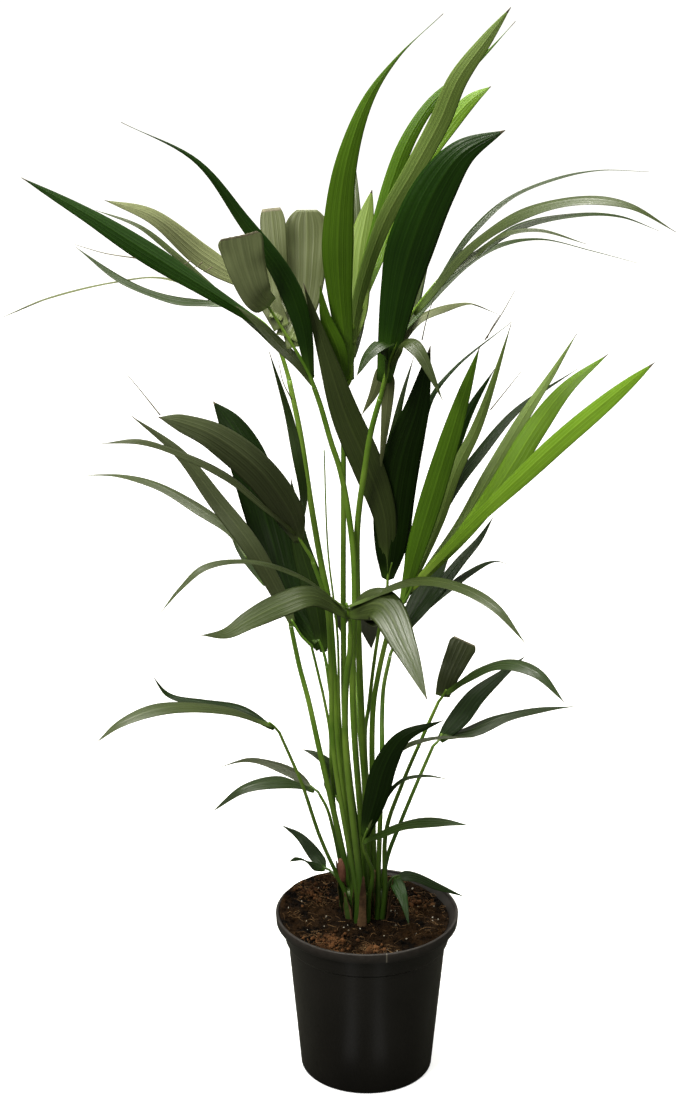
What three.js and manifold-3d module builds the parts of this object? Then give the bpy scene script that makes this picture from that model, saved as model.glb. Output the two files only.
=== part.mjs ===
// A kentia palm, 1.23 m tall, in a 21 cm nursery pot.
// Millimetres, +Z up. The origin is the middle of the pot's flat underside and -Y is the plant's front.
import * as THREE from 'three';
import Module from 'manifold-3d';

// ---- driving dimensions -------------------------------------------------------------------------

const GAP = 0.3; // clearance between neighbouring pieces
const FINEST = 0.03; // smaller steps where leaflets join their rib are smoothed away

const POT = {
  height: 197,
  rimRadius: 105,
  lipHeight: 12,
  lipWidth: 3.5, // of the rim's flat top
  lipDepth: 10, // down inside the rim to where the wall narrows to the collar
  collarRadius: 96.5,
  collarFoot: 94,
  ledgeHeight: 160,
  bodyTopRadius: 90.5,
  footRadius: 76,
  footChamfer: 2,
  wall: 2.4,
  floor: 3,
  sides: 64,
};

const SOIL = {
  edgeHeight: 188,
  crownHeight: 191,
  flatRadius: 48,
  footHeight: 3.5,
  clearance: 1.3, // from the wall: the pot's flat facets come nearer than its corners
  sides: 48,
};

const STEM = {
  footRadius: 9.8,
  topRadius: 11.3,
  fullAt: 0.5, // share of the height at which the top radius is reached
  seatRing: 7, // radius on the flat top where the petioles stand
  sides: 14,
};

const LIMB = { sides: 6, steps: 12 }; // the petioles
const RIB = { tipRadius: 1.3, steps: 6 }; // the fronds' ribs, sided like the petioles

const LEAFLET = {
  steps: 7,
  rootShare: 0.32, // width at the root as a share of the full width
  wedgeRootShare: 0.52, // the same on a blunt leaflet
  tipWidth: 0.8,
  thicknessShare: 0.0105, // of the leaflet's own length
  edgeShare: 0.72, // how much thinner the blade is at its tip
};

// A leaflet's outline, unless it has values of its own.
const OUTLINE = {
  widest: 0.32, // where the blade is widest, as a share of its length
  taper: 1.6, // how the width falls off beyond that: 1 is a straight point, more is blunter
  slim: 1, // above 1, the tip is drawn out to a whip
  cut: 0, // width left at the tip, for a blunt or torn end
};

const COLOURS = {
  pot: { color: 0x1b1a1a, roughness: 0.42, metalness: 0 },
  soil: { color: 0x3a2415, roughness: 1, metalness: 0 },
  stem: { color: 0x5d7330, roughness: 0.6, metalness: 0 },
  petiole: { color: 0x5a8428, roughness: 0.45, metalness: 0 },
  dark: { color: 0x24401a, roughness: 0.4, metalness: 0 },
  olive: { color: 0x4b5a38, roughness: 0.45, metalness: 0 },
  bright: { color: 0x5b8a26, roughness: 0.45, metalness: 0 },
};

// ---- the plant, stem by stem ----------------------------------------------------------------------

// Short sheathed stems standing in the soil: foot and top of each one's axis.
const STEMS = {
  left: { foot: [-16, 2], top: [-20, 3, 222] },
  left_back: { foot: [-18, 23.5], top: [-22, 27, 222] },
  front: { foot: [-5, -15], top: [-4, -19.5, 228] },
  back: { foot: [1, 16.5], top: [2, 22, 232] },
  right: { foot: [12.5, -3], top: [15.5, -3, 224] },
};

// One entry a frond. `seat` is the bearing, in degrees, of its petiole's foot on the stem's top. `petiole`
// runs up to the joint where its blade begins, and `rib` goes on from there. Every leaflet leaves the rib
// at the share `at` and runs through its `path` to its tip. `tilt` leans its upper face from straight up
// (0) over to the front (90), and `turn` swings that lean to the right (+) or left (-). `widest`,
// `taper`, `slim` and `cut` are those of OUTLINE.
const FRONDS = [
  {
    name: 'upper_left_outer', tone: 'dark', stem: 'left', seat: 320, radii: [4.4, 2.9],
    petiole: [
      [-35, 0, 442], [-40, 4, 525], [-44, 6, 577], [-52, 9, 621], [-63, 16, 688], [-74, 28, 762],
      [-86, 40, 819],
    ],
    rib: [[-105, 50, 870], [-130, 55, 890], [-152, 60, 900]],
    leaflets: [
      {
        at: 0.55, path: [[-191, 28, 935], [-242, 15, 972], [-292, 3, 1008], [-359, -12, 1051]],
        width: 25, tilt: 50, widest: 0.45, taper: 2,
      },
      {
        at: 0.35, path: [[-167, 75, 912], [-210, 82, 949], [-247, 88, 977], [-294, 95, 993]],
        width: 8, tilt: 30, widest: 0.6,
      },
      { at: 1, path: [[-210, 80, 900], [-264, 92, 916], [-319, 110, 949]], width: 30, tilt: 0 },
      {
        at: 0.95, path: [[-223, 120, 912], [-286, 150, 899], [-362, 175, 874], [-412, 190, 849]],
        width: 16, tilt: -8, widest: 0.7, taper: 2,
      },
      { at: 0.3, path: [[-140, 80, 888], [-165, 140, 884], [-190, 210, 860]], width: 16, tilt: 0 },
    ],
  },
  {
    name: 'upper_left_inner', tone: 'olive', stem: 'front', seat: 55, radii: [3.7, 2.7],
    petiole: [
      [-17, -15, 467], [-15, -20, 599], [-18, -22, 657], [-30, -26, 735], [-41, -28, 772],
      [-51, -29, 809], [-58, -30, 831],
    ],
    rib: [[-64, -31, 848], [-82, -34, 881], [-117, -40, 941]],
    leaflets: [
      { at: 1, path: [[-170, -60, 980], [-220, -90, 1029], [-265, -110, 1049]], width: 28, tilt: 45 },
      {
        at: 0.81, path: [[-116, -70, 942], [-126, -90, 978], [-132, -105, 1012]],
        width: 46, tilt: 75, widest: 0.9, taper: 3, cut: 0.8,
      },
      {
        at: 0.7, path: [[-93, -10, 921], [-98, 0, 967], [-103, 20, 1012]],
        width: 27, tilt: 75, widest: 0.85, taper: 3, cut: 0.7,
      },
      {
        at: 0.6, path: [[-106, -20, 927], [-112, -8, 949], [-119, 0, 974]],
        width: 34, tilt: 75, widest: 0.8, taper: 2, cut: 0.5,
      },
      {
        at: 0.4, path: [[-89, -6, 913], [-98, 6, 940], [-102, 12, 971]],
        width: 28, tilt: 75, widest: 0.8, taper: 2, cut: 0.5,
      },
      {
        at: 0.5, path: [[-70, 0, 918], [-66, 20, 962], [-66, 35, 1007]],
        width: 48, tilt: 75, widest: 0.8, taper: 3, cut: 0.45,
      },
      {
        at: 0.08, path: [
          [-72, -45, 911], [-91, -52, 960], [-129, -66, 1019], [-175, -78, 1082], [-248, -90, 1123],
        ],
        width: 23, tilt: 65, widest: 0.3, taper: 1.5, slim: 1.6,
      },
      {
        at: 0.02, path: [[-76, -27, 858], [-95, -18, 875], [-118, -8, 896], [-140, -2, 912]],
        width: 13, tilt: 60, widest: 0.5,
      },
    ],
  },
  {
    name: 'top', tone: 'bright', stem: 'back', seat: 205, radii: [3.8, 2.9],
    petiole: [[-24, 10, 405], [-27, 15, 550], [-27, 10, 690], [-27, 5, 815]],
    rib: [[-20, 5, 830], [-20, 5, 860], [-20, 5, 885]],
    leaflets: [
      {
        at: 0.2, path: [
          [-32, -20, 940], [-33, -35, 996], [-25, -48, 1072], [-3, -52, 1138], [27, -56, 1182],
          [71, -60, 1225],
        ],
        width: 33, tilt: 80, widest: 0.3, taper: 1.5, slim: 2.2,
      },
      { at: 0.8, path: [[-15, 30, 910], [-9, 45, 967], [3, 60, 1023]], width: 30, tilt: 80, taper: 3 },
      {
        at: 0.5, path: [
          [-13, 12, 910], [15, 10, 999], [46, 5, 1057], [72, 0, 1108], [89, -4, 1150], [117, -8, 1191],
          [141, -10, 1224],
        ],
        width: 22, tilt: 75, widest: 0.6, taper: 2,
      },
      {
        at: 0.9, path: [
          [-13, 30, 910], [6, 35, 974], [24, 40, 1037], [40, 42, 1079], [65, 45, 1118], [99, 48, 1148],
          [124, 50, 1172], [150, 50, 1201],
        ],
        width: 18, tilt: 70, widest: 0.4, taper: 1.5, slim: 1.6,
      },
      {
        at: 1, path: [[22, 90, 969], [51, 105, 1032], [82, 115, 1077], [110, 124, 1107], [131, 130, 1120]],
        width: 20, tilt: 60, widest: 0.6, taper: 1.8,
      },
      { at: 0.6, path: [[-20, 70, 900], [-20, 150, 990], [-20, 230, 1055]], width: 34, tilt: 60 },
      { at: 0.1, path: [[-33, -14, 868], [-46, -20, 904], [-52, -24, 941]], width: 18, tilt: 80 },
    ],
  },
  {
    name: 'upper_right', tone: 'dark', stem: 'back', seat: 280, radii: [3.8, 2.9],
    petiole: [[-7, 12, 440], [-12, -2, 589], [-12, -16, 673], [-5, -32, 739], [2, -42, 788], [11, -48, 825]],
    rib: [[30, -50, 895], [50, -45, 925], [70, -40, 950]],
    leaflets: [
      {
        at: 0.12, path: [[31, -62, 950], [43, -73, 1000], [64, -82, 1053], [91, -88, 1092], [133, -90, 1115]],
        width: 49, tilt: 80, widest: 0.38, taper: 2.1,
      },
      {
        at: 0.95, path: [[106, -12, 995], [146, 10, 1026], [199, 30, 1043], [242, 45, 1047], [296, 60, 1042]],
        width: 13, tilt: 0, taper: 1.3,
      },
      {
        at: 0.7, path: [
          [102, -55, 989], [151, -75, 1028], [209, -95, 1047], [257, -110, 1044], [303, -120, 1019],
        ],
        width: 26, tilt: 18, widest: 0.35,
      },
      {
        at: 0.85, path: [[111, 8, 966], [158, 20, 994], [222, 35, 1003], [266, 50, 997], [309, 62, 978]],
        width: 19, tilt: 4, widest: 0.45,
      },
      {
        at: 1, path: [[112, -15, 974], [139, -25, 996], [174, -35, 1002], [222, -40, 988]],
        width: 20, tilt: 6, widest: 0.45,
      },
      {
        at: 0.5, path: [[104, 30, 951], [143, 60, 965], [185, 90, 963], [242, 120, 943], [299, 150, 921]],
        width: 13, tilt: 0,
      },
      {
        at: 0.3, path: [[48, -8, 897], [75, 15, 905], [106, 50, 902], [140, 88, 880]],
        width: 18, tilt: 0, widest: 0.5,
      },
      {
        at: 0.25, path: [[38, -68, 892], [50, -82, 886], [61, -92, 867], [74, -100, 839]],
        width: 18, tilt: 30,
      },
      {
        at: 0.16, path: [[14, -72, 892], [-2, -84, 883], [-14, -92, 862]],
        width: 20, tilt: 25, turn: -30, taper: 2,
      },
      { at: 0.14, path: [[13, -30, 848], [4, -24, 822], [-8, -20, 798]], width: 14, tilt: 60 },
      { at: 0.2, path: [[20, -22, 832], [17, -18, 786], [11, -10, 724]], width: 14, tilt: 70 },
      { at: 0.5, path: [[40, 20, 925], [60, 110, 960], [90, 210, 995]], width: 34, tilt: 60 },
    ],
  },
  {
    name: 'centre', tone: 'dark', stem: 'back', seat: 355, radii: [3, 2],
    petiole: [[-3, 36, 401], [1, 33, 437], [7, 24, 498], [14, 14, 550], [20, 11, 575]],
    rib: [[22, 9, 606], [26, 6, 622]],
    leaflets: [
      {
        at: 0.5, path: [[24, 2, 637], [27, -2, 691], [36, -8, 750], [51, -14, 804], [64, -20, 874]],
        width: 43, tilt: 80, widest: 0.42, taper: 2.2,
      },
      {
        at: 0.6, path: [[17, -8, 681], [-2, -16, 741], [-25, -24, 799], [-44, -28, 861], [-69, -30, 944]],
        width: 34, tilt: 75, widest: 0.45, taper: 1.8,
      },
      { at: 0.7, path: [[19, 32, 719], [28, 40, 762], [37, 48, 800], [49, 60, 839]], width: 10, tilt: 80 },
      { at: 0.9, path: [[30, 60, 650], [40, 150, 705], [60, 230, 755]], width: 26, tilt: 50 },
    ],
  },
  {
    name: 'right', tone: 'bright', stem: 'right', seat: 170, radii: [3.8, 3],
    petiole: [[6, 5, 440], [11, 0, 485], [22, -6, 541], [31, -10, 569]],
    rib: [[40, -15, 585], [50, -20, 610]],
    leaflets: [
      {
        at: 0.95, path: [
          [109, -52, 688], [155, -85, 749], [197, -112, 802], [240, -140, 852], [281, -170, 899],
        ],
        width: 25, tilt: 40, widest: 0.65, taper: 2.2,
      },
      {
        at: 0.8, path: [[102, -20, 665], [143, -24, 727], [178, -20, 786], [209, -20, 829], [251, -20, 865]],
        width: 25, tilt: 40, widest: 0.5, taper: 2,
      },
      {
        at: 0.7, path: [[101, 3, 667], [134, 15, 724], [170, 45, 778], [200, 65, 819], [227, 80, 860]],
        width: 17, tilt: 45, widest: 0.35, taper: 1.5,
      },
      {
        at: 0.6, path: [[82, 45, 677], [121, 70, 724], [166, 105, 766], [237, 160, 797]],
        width: 19, tilt: 10,
      },
      {
        at: 0.3, path: [[51, -27, 648], [67, -32, 709], [85, -40, 777], [100, -46, 833], [114, -50, 881]],
        width: 25, tilt: 75, widest: 0.4, taper: 1.8,
      },
      {
        at: 0.35, path: [[47, 30, 685], [56, 30, 749], [67, 36, 798], [94, 60, 827], [158, 110, 865]],
        width: 8, tilt: 50,
      },
      {
        at: 0.5, path: [[76, 0, 670], [93, 5, 725], [116, 12, 774], [133, 16, 824], [151, 20, 887]],
        width: 14, tilt: 70, widest: 0.4,
      },
      {
        at: 0.45, path: [[69, 28, 664], [88, 34, 729], [109, 40, 783], [136, 45, 830]],
        width: 15, tilt: 70, widest: 0.5,
      },
    ],
  },
  {
    name: 'right_back', tone: 'dark', stem: 'right', seat: 242, radii: [3, 2.2],
    petiole: [[16, -8, 403], [16, 4, 435], [18, 20, 468], [25, 34, 498]],
    rib: [[32, 42, 514], [39, 47, 525]],
    leaflets: [
      {
        at: 0.6, path: [[70, 55, 559], [104, 90, 591], [127, 112, 610], [144, 130, 631]],
        width: 15, tilt: 25,
      },
      {
        at: 0.9, path: [[87, 62, 566], [117, 100, 575], [147, 140, 573], [176, 170, 552]],
        width: 12, tilt: 5,
      },
      { at: 0.7, path: [[66, 110, 549], [86, 180, 559], [107, 260, 561]], width: 26, tilt: 30 },
    ],
  },
  {
    name: 'front', tone: 'dark', stem: 'front', seat: 250, radii: [3.9, 3],
    petiole: [[-25, -40, 430], [-24, -46, 505], [-20, -50, 540], [-20, -51, 558]],
    rib: [[-21, -55, 580], [-24, -61, 600]],
    leaflets: [
      {
        at: 0.8, path: [
          [-74, -72, 635], [-126, -92, 659], [-172, -120, 663], [-197, -135, 645], [-217, -150, 624],
        ],
        width: 16, tilt: 5,
      },
      {
        at: 0.6, path: [
          [-61, -88, 619], [-94, -110, 617], [-125, -140, 612], [-149, -165, 607], [-174, -180, 611],
        ],
        width: 30, tilt: 40,
      },
      { at: 0.7, path: [[12, -88, 609], [36, -140, 584], [59, -195, 545]], width: 40, tilt: 50 },
      {
        at: 0.9, path: [[46, -85, 634], [91, -120, 642], [129, -160, 634], [159, -190, 606]],
        width: 26, tilt: 5,
      },
    ],
  },
  {
    name: 'mid_left_front', tone: 'olive', stem: 'front', seat: 190, radii: [3.5, 2.6],
    petiole: [[-38, -22, 410], [-41, -26, 515], [-46, -31, 590], [-60, -40, 640]],
    rib: [[-70, -45, 660], [-80, -50, 680]],
    leaflets: [
      {
        at: 0.6, path: [
          [-83, -62, 702], [-114, -90, 759], [-158, -120, 806], [-191, -140, 827], [-214, -150, 836],
        ],
        width: 41, tilt: 45, widest: 0.35, taper: 2,
      },
      {
        at: 0.9, path: [
          [-106, -85, 715], [-144, -120, 762], [-192, -165, 803], [-230, -195, 825], [-266, -215, 829],
        ],
        width: 22, tilt: 25,
      },
      {
        at: 0.8, path: [[-70, -25, 704], [-76, -20, 748], [-85, -8, 791], [-106, 0, 862]],
        width: 11, tilt: 75, widest: 0.6,
      },
    ],
  },
  {
    name: 'mid_left_back', tone: 'dark', stem: 'left', seat: 80, radii: [3.5, 2.6],
    petiole: [[-46, 12, 355], [-56, 15, 401], [-66, 20, 449], [-77, 27, 492], [-86, 34, 536]],
    rib: [[-110, 44, 575], [-132, 60, 607]],
    leaflets: [
      {
        at: 1, path: [
          [-149, 80, 628], [-189, 100, 651], [-236, 130, 668], [-283, 155, 672], [-328, 170, 667],
        ],
        width: 20, tilt: 5, widest: 0.4,
      },
      { at: 0.6, path: [[-136, 108, 591], [-152, 170, 594], [-163, 240, 593]], width: 16, tilt: 20 },
    ],
  },
  {
    name: 'mid_left_slim', tone: 'dark', stem: 'left_back', seat: 200, radii: [2.2, 1.7],
    petiole: [[-41, 24, 367], [-42, 23, 409], [-48, 22, 448], [-56, 20, 487], [-62, 18, 515]],
    rib: [[-74, 18, 530], [-85, 22, 548]],
    leaflets: [
      {
        at: 0.9, path: [[-95, 30, 568], [-129, 36, 630], [-168, 55, 677], [-208, 68, 727], [-261, 75, 768]],
        width: 22, tilt: 45, widest: 0.45, taper: 1.8,
      },
    ],
  },
  {
    name: 'mid_left_inner', tone: 'dark', stem: 'left_back', seat: 345, radii: [3, 2.2],
    petiole: [[-40, 16, 405], [-41, 20, 450], [-46, 26, 490]],
    rib: [[-50, 29, 508], [-55, 31, 520]],
    leaflets: [
      {
        at: 0.7, path: [
          [-87, 60, 559], [-111, 100, 626], [-135, 120, 703], [-154, 135, 739], [-174, 145, 763],
        ],
        width: 46, tilt: 65, widest: 0.5, taper: 1.8,
      },
      { at: 0.5, path: [[-61, 40, 577], [-75, 50, 627], [-85, 60, 700]], width: 26, tilt: 75, taper: 2 },
      { at: 0.95, path: [[-75, 90, 545], [-110, 160, 580], [-150, 250, 630]], width: 32, tilt: 20 },
    ],
  },
  {
    name: 'back', tone: 'dark', stem: 'back', seat: 60, radii: [3.2, 2.4],
    petiole: [[-8, 50, 395], [-14, 90, 445], [-16, 130, 478]],
    rib: [[-15, 160, 490], [-13, 185, 496]],
    leaflets: [
      { at: 0.9, path: [[1, 205, 471], [17, 255, 464], [37, 300, 438]], width: 24, tilt: 15 },
      { at: 0.7, path: [[-22, 215, 485], [-28, 265, 455], [-30, 310, 415]], width: 30, tilt: 10 },
      { at: 0.8, path: [[0, 220, 470], [5, 280, 430], [8, 330, 385]], width: 30, tilt: 10 },
    ],
  },
  {
    name: 'low_left_outer', tone: 'dark', stem: 'left', seat: 218, radii: [2.5, 1.7],
    petiole: [[-53, -4, 291], [-73, -14, 362], [-86, -24, 401], [-97, -33, 433]],
    rib: [[-103, -38, 444], [-109, -43, 452]],
    leaflets: [
      {
        at: 0.8, path: [[-156, -75, 482], [-223, -118, 502], [-264, -140, 494], [-288, -150, 477]],
        width: 26, tilt: 10,
      },
      {
        at: 0.5, path: [[-142, -20, 459], [-187, 0, 458], [-223, 10, 463], [-240, 12, 484]],
        width: 20, tilt: 5,
      },
    ],
  },
  {
    name: 'low_left_inner', tone: 'dark', stem: 'left_back', seat: 140, radii: [2.2, 1.6],
    petiole: [[-39, 34, 283], [-46, 38, 308], [-55, 43, 324]],
    rib: [[-60, 46, 328], [-65, 49, 331]],
    leaflets: [
      { at: 0.9, path: [[-89, 67, 342], [-136, 92, 345], [-175, 110, 325]], width: 20, tilt: 2 },
      { at: 0.6, path: [[-94, 28, 348], [-140, 10, 347], [-176, 0, 322]], width: 27, tilt: 8 },
    ],
  },
  {
    name: 'foot_left', tone: 'dark', stem: 'left', seat: 155, radii: [2, 1.5],
    petiole: [[-36, 10, 236], [-42, 14, 240]],
    rib: [[-46, 17, 241], [-50, 20, 242]],
    leaflets: [
      { at: 0.9, path: [[-58, 35, 248], [-77, 60, 261], [-100, 90, 261]], width: 17, tilt: 20 },
      { at: 0.7, path: [[-63, 18, 246], [-77, 5, 261], [-89, -10, 264]], width: 18, tilt: 10 },
    ],
  },
  {
    name: 'low_right_front', tone: 'dark', stem: 'right', seat: 314, radii: [2.8, 1.9],
    petiole: [[21, -11, 302], [38, -22, 366], [63, -35, 438], [76, -42, 474]],
    rib: [[81, -46, 484], [85, -50, 494]],
    leaflets: [
      {
        at: 0.5, path: [[86, -48, 505], [95, -42, 525], [105, -36, 546]],
        width: 31, tilt: 75, widest: 0.9, taper: 2, cut: 0.8,
      },
      {
        at: 0.9, path: [[113, -68, 522], [145, -90, 543], [178, -115, 542], [206, -140, 518]],
        width: 30, tilt: 12,
      },
    ],
  },
  {
    name: 'low_right_back', tone: 'dark', stem: 'right', seat: 75, radii: [2.8, 1.9],
    petiole: [[23, 13, 257], [38, 22, 297], [58, 30, 347], [74, 36, 385]],
    rib: [[81, 40, 392], [85, 44, 399]],
    leaflets: [
      {
        at: 0.6, path: [[103, 60, 410], [125, 80, 431], [152, 100, 446], [184, 118, 464]],
        width: 26, tilt: 25,
      },
      {
        at: 0.9, path: [[115, 58, 396], [155, 75, 406], [200, 95, 407], [244, 110, 404]],
        width: 26, tilt: 2,
      },
    ],
  },
  {
    name: 'low_centre', tone: 'dark', stem: 'front', seat: 330, radii: [2.6, 2],
    petiole: [[6, -27, 258], [2, -33, 275], [-3, -38, 290]],
    rib: [[-5, -42, 305], [0, -48, 325]],
    leaflets: [
      {
        at: 0.6, path: [[8, -52, 362], [20, -60, 411], [39, -68, 446], [81, -78, 470]],
        width: 28, tilt: 70, widest: 0.35, taper: 1.6,
      },
      {
        at: 0.9, path: [[18, -45, 389], [37, -50, 424], [68, -54, 438], [118, -56, 440]],
        width: 12, tilt: 5, widest: 0.6,
      },
      {
        at: 0.8, path: [[19, -42, 361], [38, -44, 383], [63, -46, 389], [91, -48, 385]],
        width: 10, tilt: 10,
      },
      {
        at: 0.5, path: [[19, -62, 330], [48, -80, 349], [83, -100, 359], [108, -112, 361]],
        width: 30, tilt: 8,
      },
    ],
  },
  {
    name: 'foot_right', tone: 'dark', stem: 'right', seat: 5, radii: [2, 1.5],
    petiole: [[25, 0, 232], [28, 2, 236]],
    rib: [[31, 3, 238], [35, 4, 239]],
    leaflets: [
      { at: 0.5, path: [[35, -12, 235], [41, -28, 225], [47, -45, 202]], width: 16, tilt: 50 },
      { at: 0.9, path: [[52, 8, 238], [82, 14, 221], [113, 15, 206]], width: 22, tilt: 10 },
    ],
  },
  {
    name: 'low_back_left', tone: 'dark', stem: 'left_back', seat: 60, radii: [2.2, 1.6],
    petiole: [[-20, 42, 262], [-28, 50, 298]],
    rib: [[-32, 53, 308], [-36, 56, 316]],
    leaflets: [
      {
        at: 0.6, path: [[-36, 60, 336], [-45, 66, 352], [-60, 72, 361], [-75, 80, 363]],
        width: 14, tilt: 40,
      },
      { at: 0.9, path: [[-37, 90, 318], [-36, 130, 312], [-40, 175, 300]], width: 26, tilt: 10 },
    ],
  },
];

// The rolled-up newest leaf, a slim spear beside the petioles.
const SPEAR = {
  stem: 'front', seat: 115, radii: [2, 0.7],
  path: [[-30, -8, 420], [-34, -9, 545], [-44, -8, 640], [-48, -8, 755]],
};

// ---- building blocks ------------------------------------------------------------------------------

const UP = new THREE.Vector3(0, 0, 1);
const radians = THREE.MathUtils.degToRad;
const vector = ([x, y, z]) => new THREE.Vector3(x, y, z);

/**
 * A closed solid through rings of equal point count, capped flat at both ends. Facing halves of the ring
 * split their quads the same way, so that a twisted blade keeps its thickness.
 */
function loft(rings) {
  const count = rings[0].length;
  const positions = rings.flat().flatMap((p) => [p.x, p.y, p.z]);
  const index = [];
  for (let r = 0; r < rings.length - 1; r += 1) {
    for (let k = 0; k < count; k += 1) {
      const a = r * count + k;
      const b = r * count + ((k + 1) % count);
      const c = b + count;
      const d = a + count;
      if (k < count / 2) index.push(a, b, c, a, c, d);
      else index.push(a, b, d, b, c, d);
    }
  }
  const last = (rings.length - 1) * count;
  for (let k = 1; k < count - 1; k += 1) {
    index.push(0, k + 1, k);
    index.push(last, last + k, last + k + 1);
  }
  const geometry = new THREE.BufferGeometry();
  geometry.setAttribute('position', new THREE.Float32BufferAttribute(positions, 3));
  geometry.setIndex(index);
  geometry.computeVertexNormals();
  return geometry;
}

/** A ring of points round `centre`, square to `along`. */
function ring(centre, along, radius, sides) {
  const side = new THREE.Vector3(0, 1, 0).cross(along).normalize();
  const other = along.clone().cross(side).normalize();
  return Array.from({ length: sides }, (_, k) => {
    const angle = (2 * Math.PI * k) / sides;
    return centre.clone()
      .addScaledVector(side, radius * Math.cos(angle))
      .addScaledVector(other, radius * Math.sin(angle));
  });
}

/** A tapering round limb along a curve. Its foot may be cut level, to stand on a flat top. */
function limb(curve, [footRadius, tipRadius], { levelFoot = false, steps = LIMB.steps } = {}) {
  const rings = [];
  for (let i = 0; i <= steps; i += 1) {
    const t = i / steps;
    const along = i === 0 && levelFoot ? UP : curve.getTangent(t);
    rings.push(ring(curve.getPoint(t), along, THREE.MathUtils.lerp(footRadius, tipRadius, t), LIMB.sides));
  }
  return loft(rings);
}

/** The width at the share t of a leaflet, as a share of its full width. A blunt leaflet is a wedge. */
function widthShare(t, { widest, taper, slim, cut }) {
  if (t < widest) {
    const root = cut > 0 ? LEAFLET.wedgeRootShare : LEAFLET.rootShare;
    const rise = cut > 0 ? t / widest : Math.sin((Math.PI / 2) * (t / widest));
    return root + (1 - root) * rise;
  }
  return cut + (1 - cut) * (1 - ((t - widest) / (1 - widest)) ** taper) ** slim;
}

/** One leaflet: a long blade, thickest along its midrib, on a curve from its root through its path. */
function leaflet(root, { path, width, tilt, turn = 0, ...outline }) {
  const curve = new THREE.CatmullRomCurve3([root, ...path.map(vector)]);
  const face = new THREE.Vector3(
    Math.sin(radians(turn)) * Math.sin(radians(tilt)),
    -Math.cos(radians(turn)) * Math.sin(radians(tilt)),
    Math.cos(radians(tilt)),
  );
  const shape = { ...OUTLINE, ...outline };
  const thickness = curve.getLength() * LEAFLET.thicknessShare;
  const rings = [];
  for (let i = 0; i <= LEAFLET.steps; i += 1) {
    const t = i / LEAFLET.steps;
    const centre = curve.getPoint(t);
    const across = curve.getTangent(t).cross(face).normalize();
    const upper = across.clone().cross(curve.getTangent(t)).normalize();
    const halfWidth = Math.max(width * widthShare(t, shape), LEAFLET.tipWidth) / 2;
    const halfThick = (thickness * (1 - LEAFLET.edgeShare * t)) / 2;
    rings.push([
      centre.clone().addScaledVector(across, halfWidth),
      centre.clone().addScaledVector(upper, -halfThick),
      centre.clone().addScaledVector(across, -halfWidth),
      centre.clone().addScaledVector(upper, halfThick),
    ]);
  }
  return loft(rings);
}

const wasm = await Module();
wasm.setup();

/** Join closed geometries into one solid. */
function fuse(geometries) {
  let whole = null;
  for (const geometry of geometries) {
    const mesh = new wasm.Mesh({
      numProp: 3,
      vertProperties: new Float32Array(geometry.getAttribute('position').array),
      triVerts: new Uint32Array(geometry.getIndex().array),
    });
    const solid = new wasm.Manifold(mesh);
    whole = whole ? whole.add(solid) : solid;
  }
  const out = whole.simplify(FINEST).getMesh();
  const geometry = new THREE.BufferGeometry();
  geometry.setAttribute('position', new THREE.Float32BufferAttribute(out.vertProperties, 3));
  geometry.setIndex(new THREE.Uint32BufferAttribute(out.triVerts, 1));
  geometry.computeVertexNormals();
  return geometry;
}

const palm = new THREE.Group();

/** Add a named piece in one of the COLOURS. */
function add(name, geometry, finish) {
  const mesh = new THREE.Mesh(geometry, new THREE.MeshStandardMaterial(COLOURS[finish]));
  mesh.name = name;
  palm.add(mesh);
}

// ---- pot and soil -----------------------------------------------------------------------------------

/** A profile of [radius, height] pairs turned about the upright axis. */
function turned(profile, sides) {
  const points = profile.map(([radius, height]) => new THREE.Vector2(radius, height));
  return new THREE.LatheGeometry(points, sides).rotateX(Math.PI / 2);
}

/** The pot's outer radius at a height on its tapering body. */
const bodyRadius = (z) => THREE.MathUtils.mapLinear(z, 0, POT.ledgeHeight, POT.footRadius, POT.bodyTopRadius);

/** The step between body and collar slopes at 45 degrees; this is where it ends. */
const ledgeTop = POT.ledgeHeight + POT.collarFoot - POT.bodyTopRadius;

function potShell() {
  const lipFoot = POT.height - POT.lipHeight;
  const lipInner = POT.rimRadius - POT.lipWidth;
  const shoulder = POT.height - POT.lipDepth;
  const neck = POT.collarRadius - POT.wall;
  return turned([
    [0, 0],
    [POT.footRadius - POT.footChamfer, 0],
    [bodyRadius(POT.footChamfer), POT.footChamfer],
    [POT.bodyTopRadius, POT.ledgeHeight],
    [POT.collarFoot, ledgeTop],
    [POT.collarRadius, lipFoot],
    [POT.rimRadius, lipFoot],
    [POT.rimRadius, POT.height],
    [lipInner, POT.height],
    [lipInner, shoulder + lipInner - neck],
    [neck, shoulder],
    [POT.collarFoot - POT.wall, ledgeTop + POT.wall],
    [POT.bodyTopRadius - POT.wall, POT.ledgeHeight],
    [bodyRadius(POT.floor) - POT.wall, POT.floor],
    [0, POT.floor],
  ], POT.sides);
}

function soilBody() {
  const inset = POT.wall + SOIL.clearance;
  return turned([
    [0, SOIL.footHeight],
    [bodyRadius(SOIL.footHeight) - inset, SOIL.footHeight],
    [POT.bodyTopRadius - inset, POT.ledgeHeight],
    [POT.collarFoot - inset, ledgeTop + POT.wall],
    [POT.collarRadius - inset, SOIL.edgeHeight],
    [SOIL.flatRadius, SOIL.crownHeight],
    [0, SOIL.crownHeight],
  ], SOIL.sides);
}

add('pot', potShell(), 'pot');
add('soil', soilBody(), 'soil');

// ---- stems, petioles and fronds -----------------------------------------------------------------------

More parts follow.
